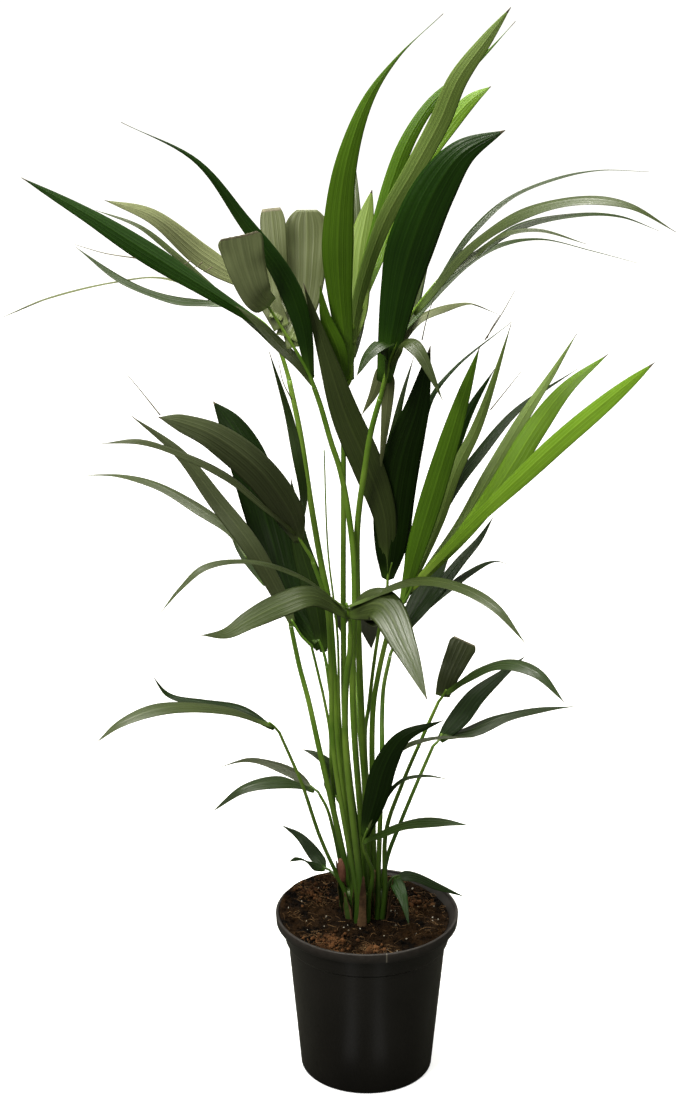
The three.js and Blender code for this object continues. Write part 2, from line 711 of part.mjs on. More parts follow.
for (const [name, { foot, top }] of Object.entries(STEMS)) {
  const base = vector([...foot, SOIL.crownHeight + GAP]);
  const crown = vector(top);
  const rings = [
    ring(base, UP, STEM.footRadius, STEM.sides),
    ring(base.clone().lerp(crown, STEM.fullAt), UP, STEM.topRadius, STEM.sides),
    ring(crown, UP, STEM.topRadius, STEM.sides),
  ];
  add(`stem_${name}`, loft(rings), 'stem');
}

/** Where a petiole stands on its stem's flat top. */
function seatPoint(stem, bearing) {
  const [x, y, z] = STEMS[stem].top;
  const angle = radians(bearing);
  return vector([x + STEM.seatRing * Math.cos(angle), y + STEM.seatRing * Math.sin(angle), z + GAP]);
}

for (const { name, tone, stem, seat, radii, petiole, rib, leaflets } of FRONDS) {
  const boughCurve = new THREE.CatmullRomCurve3([seatPoint(stem, seat), ...petiole.map(vector)]);
  const joint = boughCurve.getPoint(1);
  const onward = boughCurve.getTangent(1);
  const ribStart = joint.clone().addScaledVector(onward, GAP);
  const lead = ribStart.clone().addScaledVector(onward, radii[1]);
  const ribCurve = new THREE.CatmullRomCurve3([ribStart, lead, ...rib.map(vector)]);
  const ribbed = limb(ribCurve, [radii[1], RIB.tipRadius], { steps: RIB.steps });
  const blades = leaflets.map((shape) => leaflet(ribCurve.getPointAt(shape.at), shape));
  add(`petiole_${name}`, limb(boughCurve, radii, { levelFoot: true }), 'petiole');
  add(`frond_${name}`, fuse([ribbed, ...blades]), tone);
}

const spearCurve = new THREE.CatmullRomCurve3([seatPoint(SPEAR.stem, SPEAR.seat), ...SPEAR.path.map(vector)]);
add('spear_leaf', limb(spearCurve, SPEAR.radii, { levelFoot: true }), 'petiole');

export default palm;
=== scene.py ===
"""A kentia palm in a 21 cm nursery pot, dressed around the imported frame.

The plant's tables are in millimetres and turn into metres as each mesh is made. +Z is up and -Y is the
plant's front. Every blade, petiole and sheath is a grid of points worked out
as whole arrays: a profile carried along a centripetal Catmull-Rom curve.
"""

from __future__ import annotations

import sys

import logging
import math
from dataclasses import dataclass, field
from enum import Enum

import bpy
import numpy as np
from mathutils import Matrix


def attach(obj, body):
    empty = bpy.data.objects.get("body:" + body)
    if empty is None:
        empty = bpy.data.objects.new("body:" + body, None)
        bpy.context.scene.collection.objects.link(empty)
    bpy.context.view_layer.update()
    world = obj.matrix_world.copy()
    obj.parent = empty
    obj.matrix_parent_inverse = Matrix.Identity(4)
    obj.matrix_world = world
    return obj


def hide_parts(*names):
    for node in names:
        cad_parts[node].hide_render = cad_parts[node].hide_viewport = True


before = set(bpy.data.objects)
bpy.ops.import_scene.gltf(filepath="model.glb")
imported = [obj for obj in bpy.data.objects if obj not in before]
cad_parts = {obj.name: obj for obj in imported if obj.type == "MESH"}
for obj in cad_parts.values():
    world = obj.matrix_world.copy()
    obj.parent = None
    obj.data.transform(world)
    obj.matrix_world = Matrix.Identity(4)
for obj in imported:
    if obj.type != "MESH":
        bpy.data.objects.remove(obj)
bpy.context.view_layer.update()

LOG = logging.getLogger("kentia")
MM = 0.001
Point = tuple[float, ...]
Path = tuple[Point, ...]
Colour = tuple[float, float, float]
Array = np.ndarray


# --- finishes --------------------------------------------------------------------------------------


class Tone(Enum):
    """How light a leaflet's blade is. Old blades are darker and young ones yellower; beyond that, the darkest
    tone is painted shade for leaflets that sit in shadow, the palest is painted light shining through a blade
    from behind, and the bright yellow-greens are partly that painted light too.
    """

    NIGHT = "shaded"
    DEEP = "deep"
    DARK = "dark"
    MID = "mid"
    DUSK = "dusk"
    GREY = "grey"
    PALE = "pale"
    MIST = "backlit"
    FRESH = "fresh"
    BRIGHT = "bright"
    LIME = "lime"
    LEMON = "lemon"


class Side(Enum):
    """The two faces of a blade."""

    UPPER = "upper"
    UNDER = "under"


@dataclass(frozen=True)
class LeafFinish:
    """A leaf blade's colours, gloss and relief."""

    blade: Colour
    vein: Colour
    root: Colour
    roughness: float
    shine: float = 0.36
    relief: float = 0.4


@dataclass(frozen=True)
class PlainFinish:
    """A finish of two mixed colours with a fine relief."""

    low: Colour
    high: Colour
    scale: float
    roughness: tuple[float, float]
    relief: float
    distance: float
    stretch: Point = (1.0, 1.0, 1.0)
    shine: float = 0.5
    # A darker colour low down that fades out higher up: painted shade under the leaves.
    foot: Colour | None = None


LEAF_FINISHES: dict[Tone, LeafFinish] = {
    # Painted shade: a near-black green for leaflets that sit in shadow.
    Tone.NIGHT: LeafFinish((0.0060, 0.0170, 0.0016), (0.012, 0.033, 0.003), (0.04, 0.09, 0.010), 0.38, 0.16),
    Tone.DEEP: LeafFinish((0.0085, 0.0370, 0.0012), (0.018, 0.058, 0.003), (0.05, 0.12, 0.010), 0.32, 0.32),
    Tone.DARK: LeafFinish((0.0150, 0.0340, 0.0040), (0.032, 0.062, 0.009), (0.07, 0.14, 0.018), 0.34),
    Tone.MID: LeafFinish((0.0380, 0.0580, 0.0130), (0.068, 0.094, 0.025), (0.11, 0.18, 0.035), 0.34, 0.45),
    Tone.DUSK: LeafFinish((0.0460, 0.0600, 0.0220), (0.076, 0.094, 0.038), (0.09, 0.13, 0.035), 0.35, 0.4),
    Tone.GREY: LeafFinish((0.1150, 0.1350, 0.0540), (0.155, 0.180, 0.076), (0.19, 0.25, 0.080), 0.42),
    Tone.PALE: LeafFinish((0.2000, 0.2250, 0.1000), (0.250, 0.280, 0.135), (0.26, 0.32, 0.120), 0.44),
    # Painted light: a pale green for a leaflet with light shining through it from behind.
    Tone.MIST: LeafFinish((0.2500, 0.3000, 0.1350), (0.300, 0.350, 0.170), (0.24, 0.36, 0.110), 0.46),
    # The four below are young blades' yellow-greens, in part lightened as painted light shining through them
    # from behind.
    Tone.FRESH: LeafFinish((0.1350, 0.2200, 0.0400), (0.215, 0.295, 0.075), (0.26, 0.38, 0.090), 0.36),
    Tone.BRIGHT: LeafFinish((0.0700, 0.1650, 0.0050), (0.115, 0.240, 0.013), (0.18, 0.34, 0.040), 0.34),
    Tone.LIME: LeafFinish((0.1200, 0.2500, 0.0100), (0.200, 0.350, 0.030), (0.28, 0.42, 0.060), 0.34),
    Tone.LEMON: LeafFinish((0.2100, 0.3200, 0.0600), (0.290, 0.400, 0.100), (0.33, 0.45, 0.115), 0.38),
}

# Petiole green; the last colour is painted shade, darkening the petioles low down under the leaves.
PETIOLE = PlainFinish(
    (0.095, 0.210, 0.014), (0.220, 0.370, 0.045), 55, (0.30, 0.42), 0.15, 0.0004, (1, 1, 0.05), 0.5,
    (0.028, 0.070, 0.007),
)
SHEATH = PlainFinish(
    (0.016, 0.040, 0.006), (0.060, 0.105, 0.018), 90, (0.38, 0.52), 0.3, 0.0006, (1, 1, 0.06),
)
DRY = PlainFinish(
    (0.040, 0.020, 0.009), (0.15, 0.085, 0.042), 160, (0.6, 0.85), 0.5, 0.0008, (1, 1, 0.12), 0.3,
)
SCALE = PlainFinish(
    (0.10, 0.035, 0.022), (0.23, 0.100, 0.065), 120, (0.5, 0.7), 0.4, 0.0006, (1, 1, 0.3), 0.3,
)
TIP = PlainFinish((0.030, 0.024, 0.010), (0.085, 0.068, 0.032), 200, (0.6, 0.8), 0.3, 0.0004)
PAPER = PlainFinish((0.13, 0.12, 0.07), (0.24, 0.22, 0.14), 260, (0.6, 0.8), 0.4, 0.0004)
HAIR = PlainFinish((0.06, 0.05, 0.025), (0.16, 0.14, 0.08), 90, (0.5, 0.7), 0.2, 0.0002)
PEAT = PlainFinish(
    (0.0020, 0.0010, 0.0004), (0.040, 0.019, 0.006), 150, (0.75, 1.0), 0.9, 0.0025, (1, 1, 1), 0.12,
)
COIR = PlainFinish(
    (0.030, 0.012, 0.004), (0.190, 0.085, 0.034), 240, (0.7, 0.95), 0.6, 0.001, (1, 1, 1), 0.15,
)
STRAW = PlainFinish((0.08, 0.038, 0.012), (0.30, 0.170, 0.070), 240, (0.7, 0.9), 0.4, 0.0006)
PERLITE = PlainFinish((0.42, 0.38, 0.30), (0.75, 0.71, 0.62), 400, (0.7, 0.9), 0.5, 0.0006)


# --- sizes -------------------------------------------------------------------------------------------


@dataclass(frozen=True)
class Leaflet:
    """A leaflet: where it leaves the rib, its path to the tip, its width and which way its face leans.

    `widest` is where it is widest, as a share of its length. Beyond that `taper` tells how the width
    falls off, `slim` draws the tip out, and `cut` is the share of the width left at a blunt tip.
    """

    at: float
    path: Path
    width: float
    tilt: float
    tone: Tone
    turn: float = 0.0
    widest: float = 0.32
    taper: float = 1.6
    slim: float = 1.0
    cut: float = 0.0
    fold: float = 1.0


@dataclass(frozen=True)
class Frond:
    """A frond: the stem it grows from, its seat there, its petiole's radii and path, and its blade."""

    name: str
    stem: str
    seat: float
    radii: tuple[float, float]
    petiole: Path
    rib: Path
    leaflets: tuple[Leaflet, ...]


@dataclass(frozen=True)
class Stem:
    """The axis of a short sheathed stem: its foot (x, y) in the soil and its top (x, y, z)."""

    foot: tuple[float, float]
    top: tuple[float, float, float]


@dataclass(frozen=True)
class Spear:
    """The rolled-up newest leaf."""

    stem: str
    seat: float
    radii: tuple[float, float]
    path: Path


# --- the plant, stem by stem -------------------------------------------------------------------------

# Stems, fronds and spear have the same values as the table in the part's source, copied here by a program.
# The tones and folds are this script's own. The darkest tone paints the shade that some leaflets sit in, and
# the palest and brightest tones partly paint light shining through leaflets from behind.

STEMS: dict[str, Stem] = {
    "left": Stem((-16, 2), (-20, 3, 222)),
    "left_back": Stem((-18, 23.5), (-22, 27, 222)),
    "front": Stem((-5, -15), (-4, -19.5, 228)),
    "back": Stem((1, 16.5), (2, 22, 232)),
    "right": Stem((12.5, -3), (15.5, -3, 224)),
}

FRONDS: tuple[Frond, ...] = (
    Frond(
        "upper_left_outer", "left", 320, (4.4, 2.9),
        ((-35, 0, 442), (-40, 4, 525), (-44, 6, 577), (-52, 9, 621), (-63, 16, 688), (-74, 28, 762),
         (-86, 40, 819)),
        ((-105, 50, 870), (-130, 55, 890), (-152, 60, 900)),
        (
            Leaflet(
                0.55, ((-191, 28, 935), (-242, 15, 972), (-292, 3, 1008), (-359, -12, 1051)),
                25, 50, Tone.DEEP, widest=0.45, taper=2,
            ),
            Leaflet(
                0.35, ((-167, 75, 912), (-210, 82, 949), (-247, 88, 977), (-294, 95, 993)),
                8, 30, Tone.MID, widest=0.6,
            ),
            Leaflet(1, ((-210, 80, 900), (-264, 92, 916), (-319, 110, 949)), 30, 0, Tone.DARK),
            Leaflet(
                0.95, ((-223, 120, 912), (-286, 150, 899), (-362, 175, 874), (-412, 190, 849)),
                16, -8, Tone.GREY, widest=0.7, taper=2,
            ),
            Leaflet(0.3, ((-140, 80, 888), (-165, 140, 884), (-190, 210, 860)), 16, 0, Tone.DARK),
        ),
    ),
    Frond(
        "upper_left_inner", "front", 55, (3.7, 2.7),
        ((-17, -15, 467), (-15, -20, 599), (-18, -22, 657), (-30, -26, 735), (-41, -28, 772),
         (-51, -29, 809), (-58, -30, 831)),
        ((-64, -31, 848), (-82, -34, 881), (-117, -40, 941)),
        (
            Leaflet(
                1, ((-170, -60, 980), (-220, -90, 1029), (-265, -110, 1049)),
                28, 45, Tone.PALE, fold=0.7,
            ),
            Leaflet(
                0.81, ((-116, -70, 942), (-126, -90, 978), (-132, -105, 1012)),
                46, 75, Tone.MIST, widest=0.9, taper=3, cut=0.8, fold=0.3,
            ),
            Leaflet(
                0.7, ((-93, -10, 921), (-98, 0, 967), (-103, 20, 1012)),
                27, 75, Tone.GREY, widest=0.85, taper=3, cut=0.7, fold=0.4,
            ),
            Leaflet(
                0.6, ((-106, -20, 927), (-112, -8, 949), (-119, 0, 974)),
                34, 75, Tone.GREY, widest=0.8, taper=2, cut=0.5, fold=0.4,
            ),
            Leaflet(
                0.4, ((-89, -6, 913), (-98, 6, 940), (-102, 12, 971)),
                28, 75, Tone.GREY, widest=0.8, taper=2, cut=0.5, fold=0.4,
            ),
            Leaflet(
                0.5, ((-70, 0, 918), (-66, 20, 962), (-66, 35, 1007)),
                48, 75, Tone.GREY, widest=0.8, taper=3, cut=0.45, fold=0.3,
            ),
            Leaflet(
                0.08, ((-72, -45, 911), (-91, -52, 960), (-129, -66, 1019), (-175, -78, 1082),
                 (-248, -90, 1123)),
                23, 65, Tone.DEEP, widest=0.3, taper=1.5, slim=1.6,
            ),
            Leaflet(
                0.02, ((-76, -27, 858), (-95, -18, 875), (-118, -8, 896), (-140, -2, 912)),
                13, 60, Tone.MID, widest=0.5,
            ),
        ),
    ),
    Frond(
        "top", "back", 205, (3.8, 2.9),
        ((-24, 10, 405), (-27, 15, 550), (-27, 10, 690), (-27, 5, 815)),
        ((-20, 5, 830), (-20, 5, 860), (-20, 5, 885)),
        (
            Leaflet(
                0.2, ((-32, -20, 940), (-33, -35, 996), (-25, -48, 1072), (-3, -52, 1138),
                 (27, -56, 1182), (71, -60, 1225)),
                33, 80, Tone.BRIGHT, widest=0.3, taper=1.5, slim=2.2,
            ),
            Leaflet(0.8, ((-15, 30, 910), (-9, 45, 967), (3, 60, 1023)), 30, 80, Tone.LEMON, taper=3),
            Leaflet(
                0.5, ((-13, 12, 910), (15, 10, 999), (46, 5, 1057), (72, 0, 1108), (89, -4, 1150),
                 (117, -8, 1191), (141, -10, 1224)),
                22, 75, Tone.FRESH, widest=0.6, taper=2,
            ),
            Leaflet(
                0.9, ((-13, 30, 910), (6, 35, 974), (24, 40, 1037), (40, 42, 1079), (65, 45, 1118),
                 (99, 48, 1148), (124, 50, 1172), (150, 50, 1201)),
                18, 70, Tone.BRIGHT, widest=0.4, taper=1.5, slim=1.6,
            ),
            Leaflet(
                1, ((22, 90, 969), (51, 105, 1032), (82, 115, 1077), (110, 124, 1107), (131, 130, 1120)),
                20, 60, Tone.LIME, widest=0.6, taper=1.8,
            ),
            Leaflet(0.6, ((-20, 70, 900), (-20, 150, 990), (-20, 230, 1055)), 34, 60, Tone.MID),
            Leaflet(0.1, ((-33, -14, 868), (-46, -20, 904), (-52, -24, 941)), 18, 80, Tone.BRIGHT),
        ),
    ),
    Frond(
        "upper_right", "back", 280, (3.8, 2.9),
        ((-7, 12, 440), (-12, -2, 589), (-12, -16, 673), (-5, -32, 739), (2, -42, 788), (11, -48, 825)),
        ((30, -50, 895), (50, -45, 925), (70, -40, 950)),
        (
            Leaflet(
                0.12, ((31, -62, 950), (43, -73, 1000), (64, -82, 1053), (91, -88, 1092), (133, -90, 1115)),
                49, 80, Tone.DEEP, widest=0.38, taper=2.1,
            ),
            Leaflet(
                0.95, ((106, -12, 995), (146, 10, 1026), (199, 30, 1043), (242, 45, 1047), (296, 60, 1042)),
                13, 0, Tone.DARK, taper=1.3,
            ),
            Leaflet(
                0.7, ((102, -55, 989), (151, -75, 1028), (209, -95, 1047), (257, -110, 1044),
                 (303, -120, 1019)),
                26, 18, Tone.MID, widest=0.35,
            ),
            Leaflet(
                0.85, ((111, 8, 966), (158, 20, 994), (222, 35, 1003), (266, 50, 997), (309, 62, 978)),
                19, 4, Tone.DARK, widest=0.45,
            ),
            Leaflet(
                1, ((112, -15, 974), (139, -25, 996), (174, -35, 1002), (222, -40, 988)),
                20, 6, Tone.MID, widest=0.45,
            ),
            Leaflet(
                0.5, ((104, 30, 951), (143, 60, 965), (185, 90, 963), (242, 120, 943), (299, 150, 921)),
                13, 0, Tone.DARK,
            ),
            Leaflet(
                0.3, ((48, -8, 897), (75, 15, 905), (106, 50, 902), (140, 88, 880)),
                18, 0, Tone.GREY, widest=0.5,
            ),
            Leaflet(
                0.25, ((38, -68, 892), (50, -82, 886), (61, -92, 867), (74, -100, 839)),
                18, 30, Tone.MID,
            ),
            Leaflet(
                0.16, ((14, -72, 892), (-2, -84, 883), (-14, -92, 862)),
                20, 25, Tone.DARK, turn=-30, taper=2,
            ),
            Leaflet(0.14, ((13, -30, 848), (4, -24, 822), (-8, -20, 798)), 14, 60, Tone.GREY),
            Leaflet(0.2, ((20, -22, 832), (17, -18, 786), (11, -10, 724)), 14, 70, Tone.GREY),
            Leaflet(0.5, ((40, 20, 925), (60, 110, 960), (90, 210, 995)), 34, 60, Tone.MID),
        ),
    ),
    Frond(
        "centre", "back", 355, (3, 2),
        ((-3, 36, 401), (1, 33, 437), (7, 24, 498), (14, 14, 550), (20, 11, 575)),
        ((22, 9, 606), (26, 6, 622)),
        (
            Leaflet(
                0.5, ((24, 2, 637), (27, -2, 691), (36, -8, 750), (51, -14, 804), (64, -20, 874)),
                43, 80, Tone.NIGHT, widest=0.42, taper=2.2,
            ),
            Leaflet(
                0.6, ((17, -8, 681), (-2, -16, 741), (-25, -24, 799), (-44, -28, 861), (-69, -30, 944)),
                34, 75, Tone.MID, widest=0.45, taper=1.8,
            ),
            Leaflet(0.7, ((19, 32, 719), (28, 40, 762), (37, 48, 800), (49, 60, 839)), 10, 80, Tone.DARK),
            Leaflet(0.9, ((30, 60, 650), (40, 150, 705), (60, 230, 755)), 26, 50, Tone.DARK),
        ),
    ),
    Frond(
        "right", "right", 170, (3.8, 3),
        ((6, 5, 440), (11, 0, 485), (22, -6, 541), (31, -10, 569)),
        ((40, -15, 585), (50, -20, 610)),
        (
            Leaflet(
                0.95, ((109, -52, 688), (155, -85, 749), (197, -112, 802), (240, -140, 852),
                 (281, -170, 899)),
                25, 40, Tone.LIME, widest=0.65, taper=2.2,
            ),
            Leaflet(
                0.8, ((102, -20, 665), (143, -24, 727), (178, -20, 786), (209, -20, 829), (251, -20, 865)),
                25, 40, Tone.LIME, widest=0.5, taper=2,
            ),
            Leaflet(
                0.7, ((101, 3, 667), (134, 15, 724), (170, 45, 778), (200, 65, 819), (227, 80, 860)),
                17, 45, Tone.FRESH, widest=0.35, taper=1.5,
            ),
            Leaflet(
                0.6, ((82, 45, 677), (121, 70, 724), (166, 105, 766), (237, 160, 797)),
                19, 10, Tone.NIGHT,
            ),
            Leaflet(
                0.3, ((51, -27, 648), (67, -32, 709), (85, -40, 777), (100, -46, 833), (114, -50, 881)),
                25, 75, Tone.BRIGHT, widest=0.4, taper=1.8,
            ),
            Leaflet(
                0.35, ((47, 30, 685), (56, 30, 749), (67, 36, 798), (94, 60, 827), (158, 110, 865)),
                8, 50, Tone.DEEP,
            ),
            Leaflet(
                0.5, ((76, 0, 670), (93, 5, 725), (116, 12, 774), (133, 16, 824), (151, 20, 887)),
                14, 70, Tone.FRESH, widest=0.4,
            ),
            Leaflet(
                0.45, ((69, 28, 664), (88, 34, 729), (109, 40, 783), (136, 45, 830)),
                15, 70, Tone.DEEP, widest=0.5,
            ),
        ),
    ),
    Frond(
        "right_back", "right", 242, (3, 2.2),
        ((16, -8, 403), (16, 4, 435), (18, 20, 468), (25, 34, 498)),
        ((32, 42, 514), (39, 47, 525)),
        (
            Leaflet(
                0.6, ((70, 55, 559), (104, 90, 591), (127, 112, 610), (144, 130, 631)),
                15, 25, Tone.NIGHT,
            ),
            Leaflet(
                0.9, ((87, 62, 566), (117, 100, 575), (147, 140, 573), (176, 170, 552)),
                12, 5, Tone.NIGHT,
            ),
            Leaflet(0.7, ((66, 110, 549), (86, 180, 559), (107, 260, 561)), 26, 30, Tone.NIGHT),
        ),
    ),
    Frond(
        "front", "front", 250, (3.9, 3),
        ((-25, -40, 430), (-24, -46, 505), (-20, -50, 540), (-20, -51, 558)),
        ((-21, -55, 580), (-24, -61, 600)),
        (
            Leaflet(
                0.8, ((-74, -72, 635), (-126, -92, 659), (-172, -120, 663), (-197, -135, 645),
                 (-217, -150, 624)),
                16, 5, Tone.MID, fold=0.3,
            ),
            Leaflet(
                0.6, ((-61, -88, 619), (-94, -110, 617), (-125, -140, 612), (-149, -165, 607),
                 (-174, -180, 611)),
                30, 40, Tone.MID, fold=0.3,
            ),
            Leaflet(0.7, ((12, -88, 609), (36, -140, 584), (59, -195, 545)), 40, 50, Tone.MID, fold=0.3),
            Leaflet(
                0.9, ((46, -85, 634), (91, -120, 642), (129, -160, 634), (159, -190, 606)),
                26, 5, Tone.MID, fold=0.3,
            ),
        ),
    ),
    Frond(
        "mid_left_front", "front", 190, (3.5, 2.6),
        ((-38, -22, 410), (-41, -26, 515), (-46, -31, 590), (-60, -40, 640)),
        ((-70, -45, 660), (-80, -50, 680)),
        (
            Leaflet(
                0.6, ((-83, -62, 702), (-114, -90, 759), (-158, -120, 806), (-191, -140, 827),
                 (-214, -150, 836)),
                41, 45, Tone.DUSK, widest=0.35, taper=2,
            ),
            Leaflet(
                0.9, ((-106, -85, 715), (-144, -120, 762), (-192, -165, 803), (-230, -195, 825),
                 (-266, -215, 829)),
                22, 25, Tone.DUSK,
            ),
            Leaflet(
                0.8, ((-70, -25, 704), (-76, -20, 748), (-85, -8, 791), (-106, 0, 862)),
                11, 75, Tone.DARK, widest=0.6,
            ),
        ),
    ),
    Frond(
        "mid_left_back", "left", 80, (3.5, 2.6),
        ((-46, 12, 355), (-56, 15, 401), (-66, 20, 449), (-77, 27, 492), (-86, 34, 536)),
        ((-110, 44, 575), (-132, 60, 607)),
        (
            Leaflet(
                1, ((-149, 80, 628), (-189, 100, 651), (-236, 130, 668), (-283, 155, 672),
                 (-328, 170, 667)),
                20, 5, Tone.MID, widest=0.4,
            ),
            Leaflet(0.6, ((-136, 108, 591), (-152, 170, 594), (-163, 240, 593)), 16, 20, Tone.DARK),
        ),
    ),
    Frond(
        "mid_left_slim", "left_back", 200, (2.2, 1.7),
        ((-41, 24, 367), (-42, 23, 409), (-48, 22, 448), (-56, 20, 487), (-62, 18, 515)),
        ((-74, 18, 530), (-85, 22, 548)),
        (
            Leaflet(
                0.9, ((-95, 30, 568), (-129, 36, 630), (-168, 55, 677), (-208, 68, 727), (-261, 75, 768)),
                22, 45, Tone.DUSK, widest=0.45, taper=1.8,
            ),
        ),
    ),
    Frond(
        "mid_left_inner", "left_back", 345, (3, 2.2),
        ((-40, 16, 405), (-41, 20, 450), (-46, 26, 490)),
        ((-50, 29, 508), (-55, 31, 520)),
        (
            Leaflet(
                0.7, ((-87, 60, 559), (-111, 100, 626), (-135, 120, 703), (-154, 135, 739),
                 (-174, 145, 763)),
                46, 65, Tone.NIGHT, widest=0.5, taper=1.8,
            ),
            Leaflet(0.5, ((-61, 40, 577), (-75, 50, 627), (-85, 60, 700)), 26, 75, Tone.DARK, taper=2),
            Leaflet(0.95, ((-75, 90, 545), (-110, 160, 580), (-150, 250, 630)), 32, 20, Tone.DARK),
        ),
    ),
    Frond(
        "back", "back", 60, (3.2, 2.4),
        ((-8, 50, 395), (-14, 90, 445), (-16, 130, 478)),
        ((-15, 160, 490), (-13, 185, 496)),
        (
            Leaflet(0.9, ((1, 205, 471), (17, 255, 464), (37, 300, 438)), 24, 15, Tone.MID),
            Leaflet(0.7, ((-22, 215, 485), (-28, 265, 455), (-30, 310, 415)), 30, 10, Tone.MID),
            Leaflet(0.8, ((0, 220, 470), (5, 280, 430), (8, 330, 385)), 30, 10, Tone.MID),
        ),
    ),
    Frond(
        "low_left_outer", "left", 218, (2.5, 1.7),
        ((-53, -4, 291), (-73, -14, 362), (-86, -24, 401), (-97, -33, 433)),
        ((-103, -38, 444), (-109, -43, 452)),
        (
            Leaflet(
                0.8, ((-156, -75, 482), (-223, -118, 502), (-264, -140, 494), (-288, -150, 477)),
                26, 10, Tone.MID, fold=0.6,
            ),
            Leaflet(
                0.5, ((-142, -20, 459), (-187, 0, 458), (-223, 10, 463), (-240, 12, 484)),
                20, 5, Tone.NIGHT,
            ),
        ),
    ),
    Frond(
        "low_left_inner", "left_back", 140, (2.2, 1.6),
        ((-39, 34, 283), (-46, 38, 308), (-55, 43, 324)),
        ((-60, 46, 328), (-65, 49, 331)),
        (
            Leaflet(0.9, ((-89, 67, 342), (-136, 92, 345), (-175, 110, 325)), 20, 2, Tone.DUSK),
            Leaflet(0.6, ((-94, 28, 348), (-140, 10, 347), (-176, 0, 322)), 27, 8, Tone.DARK),
        ),
    ),
    Frond(
        "foot_left", "left", 155, (2, 1.5),
        ((-36, 10, 236), (-42, 14, 240)),
        ((-46, 17, 241), (-50, 20, 242)),
        (
            Leaflet(0.9, ((-58, 35, 248), (-77, 60, 261), (-100, 90, 261)), 17, 20, Tone.NIGHT),
            Leaflet(0.7, ((-63, 18, 246), (-77, 5, 261), (-89, -10, 264)), 18, 10, Tone.NIGHT),
        ),
    ),
    Frond(
        "low_right_front", "right", 314, (2.8, 1.9),
        ((21, -11, 302), (38, -22, 366), (63, -35, 438), (76, -42, 474)),
        ((81, -46, 484), (85, -50, 494)),
        (
            Leaflet(
                0.5, ((86, -48, 505), (95, -42, 525), (105, -36, 546)),
                31, 75, Tone.DUSK, widest=0.9, taper=2, cut=0.8, fold=0.3,
            ),
            Leaflet(
                0.9, ((113, -68, 522), (145, -90, 543), (178, -115, 542), (206, -140, 518)),
                30, 12, Tone.DARK,
            ),
        ),
    ),
    Frond(
        "low_right_back", "right", 75, (2.8, 1.9),
        ((23, 13, 257), (38, 22, 297), (58, 30, 347), (74, 36, 385)),
        ((81, 40, 392), (85, 44, 399)),
        (
            Leaflet(
                0.6, ((103, 60, 410), (125, 80, 431), (152, 100, 446), (184, 118, 464)),
                26, 25, Tone.NIGHT,
            ),
            Leaflet(
                0.9, ((115, 58, 396), (155, 75, 406), (200, 95, 407), (244, 110, 404)),
                26, 2, Tone.DARK,
            ),
        ),
    ),
    Frond(
        "low_centre", "front", 330, (2.6, 2),
        ((6, -27, 258), (2, -33, 275), (-3, -38, 290)),
        ((-5, -42, 305), (0, -48, 325)),
        (
            Leaflet(
                0.6, ((8, -52, 362), (20, -60, 411), (39, -68, 446), (81, -78, 470)),
                28, 70, Tone.NIGHT, widest=0.35, taper=1.6,
            ),
            Leaflet(
                0.9, ((18, -45, 389), (37, -50, 424), (68, -54, 438), (118, -56, 440)),
                12, 5, Tone.DUSK, widest=0.6,
            ),
            Leaflet(
                0.8, ((19, -42, 361), (38, -44, 383), (63, -46, 389), (91, -48, 385)),
                10, 10, Tone.DARK,
            ),
            Leaflet(
                0.5, ((19, -62, 330), (48, -80, 349), (83, -100, 359), (108, -112, 361)),
                30, 8, Tone.DARK,
            ),
        ),
    ),
    Frond(
        "foot_right", "right", 5, (2, 1.5),
        ((25, 0, 232), (28, 2, 236)),
        ((31, 3, 238), (35, 4, 239)),
        (
            Leaflet(0.5, ((35, -12, 235), (41, -28, 225), (47, -45, 202)), 16, 50, Tone.DEEP),
            Leaflet(0.9, ((52, 8, 238), (82, 14, 221), (113, 15, 206)), 22, 10, Tone.NIGHT),
        ),
    ),
    Frond(
        "low_back_left", "left_back", 60, (2.2, 1.6),
        ((-20, 42, 262), (-28, 50, 298)),
        ((-32, 53, 308), (-36, 56, 316)),
        (
            Leaflet(
                0.6, ((-36, 60, 336), (-45, 66, 352), (-60, 72, 361), (-75, 80, 363)),
                14, 40, Tone.DARK,
            ),
            Leaflet(0.9, ((-37, 90, 318), (-36, 130, 312), (-40, 175, 300)), 26, 10, Tone.DARK),
        ),
    ),
)

SPEAR = Spear("front", 115, (2, 0.7), ((-30, -8, 420), (-34, -9, 545), (-44, -8, 640), (-48, -8, 755)))

# --- end of the plant --------------------------------------------------------------------------------

THREADS: tuple[Path, ...] = (
    ((-246, -150, 883), (-232, -150, 865), (-212, -150, 838)),
    ((158, -60, 859), (144, -60, 840), (126, -60, 816)),
    ((135, -40, 913), (127, -40, 899), (122, -40, 888)),
    ((150, -40, 939), (138, -40, 916), (120, -40, 886)),
    ((-96, -20, 859), (-91, -20, 834), (-82, -20, 815)),
    ((-301, -60, 992), (-271, -60, 983), (-240, -60, 978)),
    ((68, -20, 929), (60, -20, 904), (55, -20, 880)),
    ((-189, -90, 979), (-186, -90, 980), (-182, -90, 983)),
    ((-180, -90, 975), (-175, -90, 977), (-170, -90, 981)),
    ((-169, -90, 971), (-165, -90, 973), (-160, -90, 976)),
)


# --- curves and grids --------------------------------------------------------------------------------


def unit(vectors: Array) -> Array:
    """Vectors scaled to length 1, along the last axis."""
    return vectors / np.maximum(np.linalg.norm(vectors, axis=-1, keepdims=True), 1e-12)


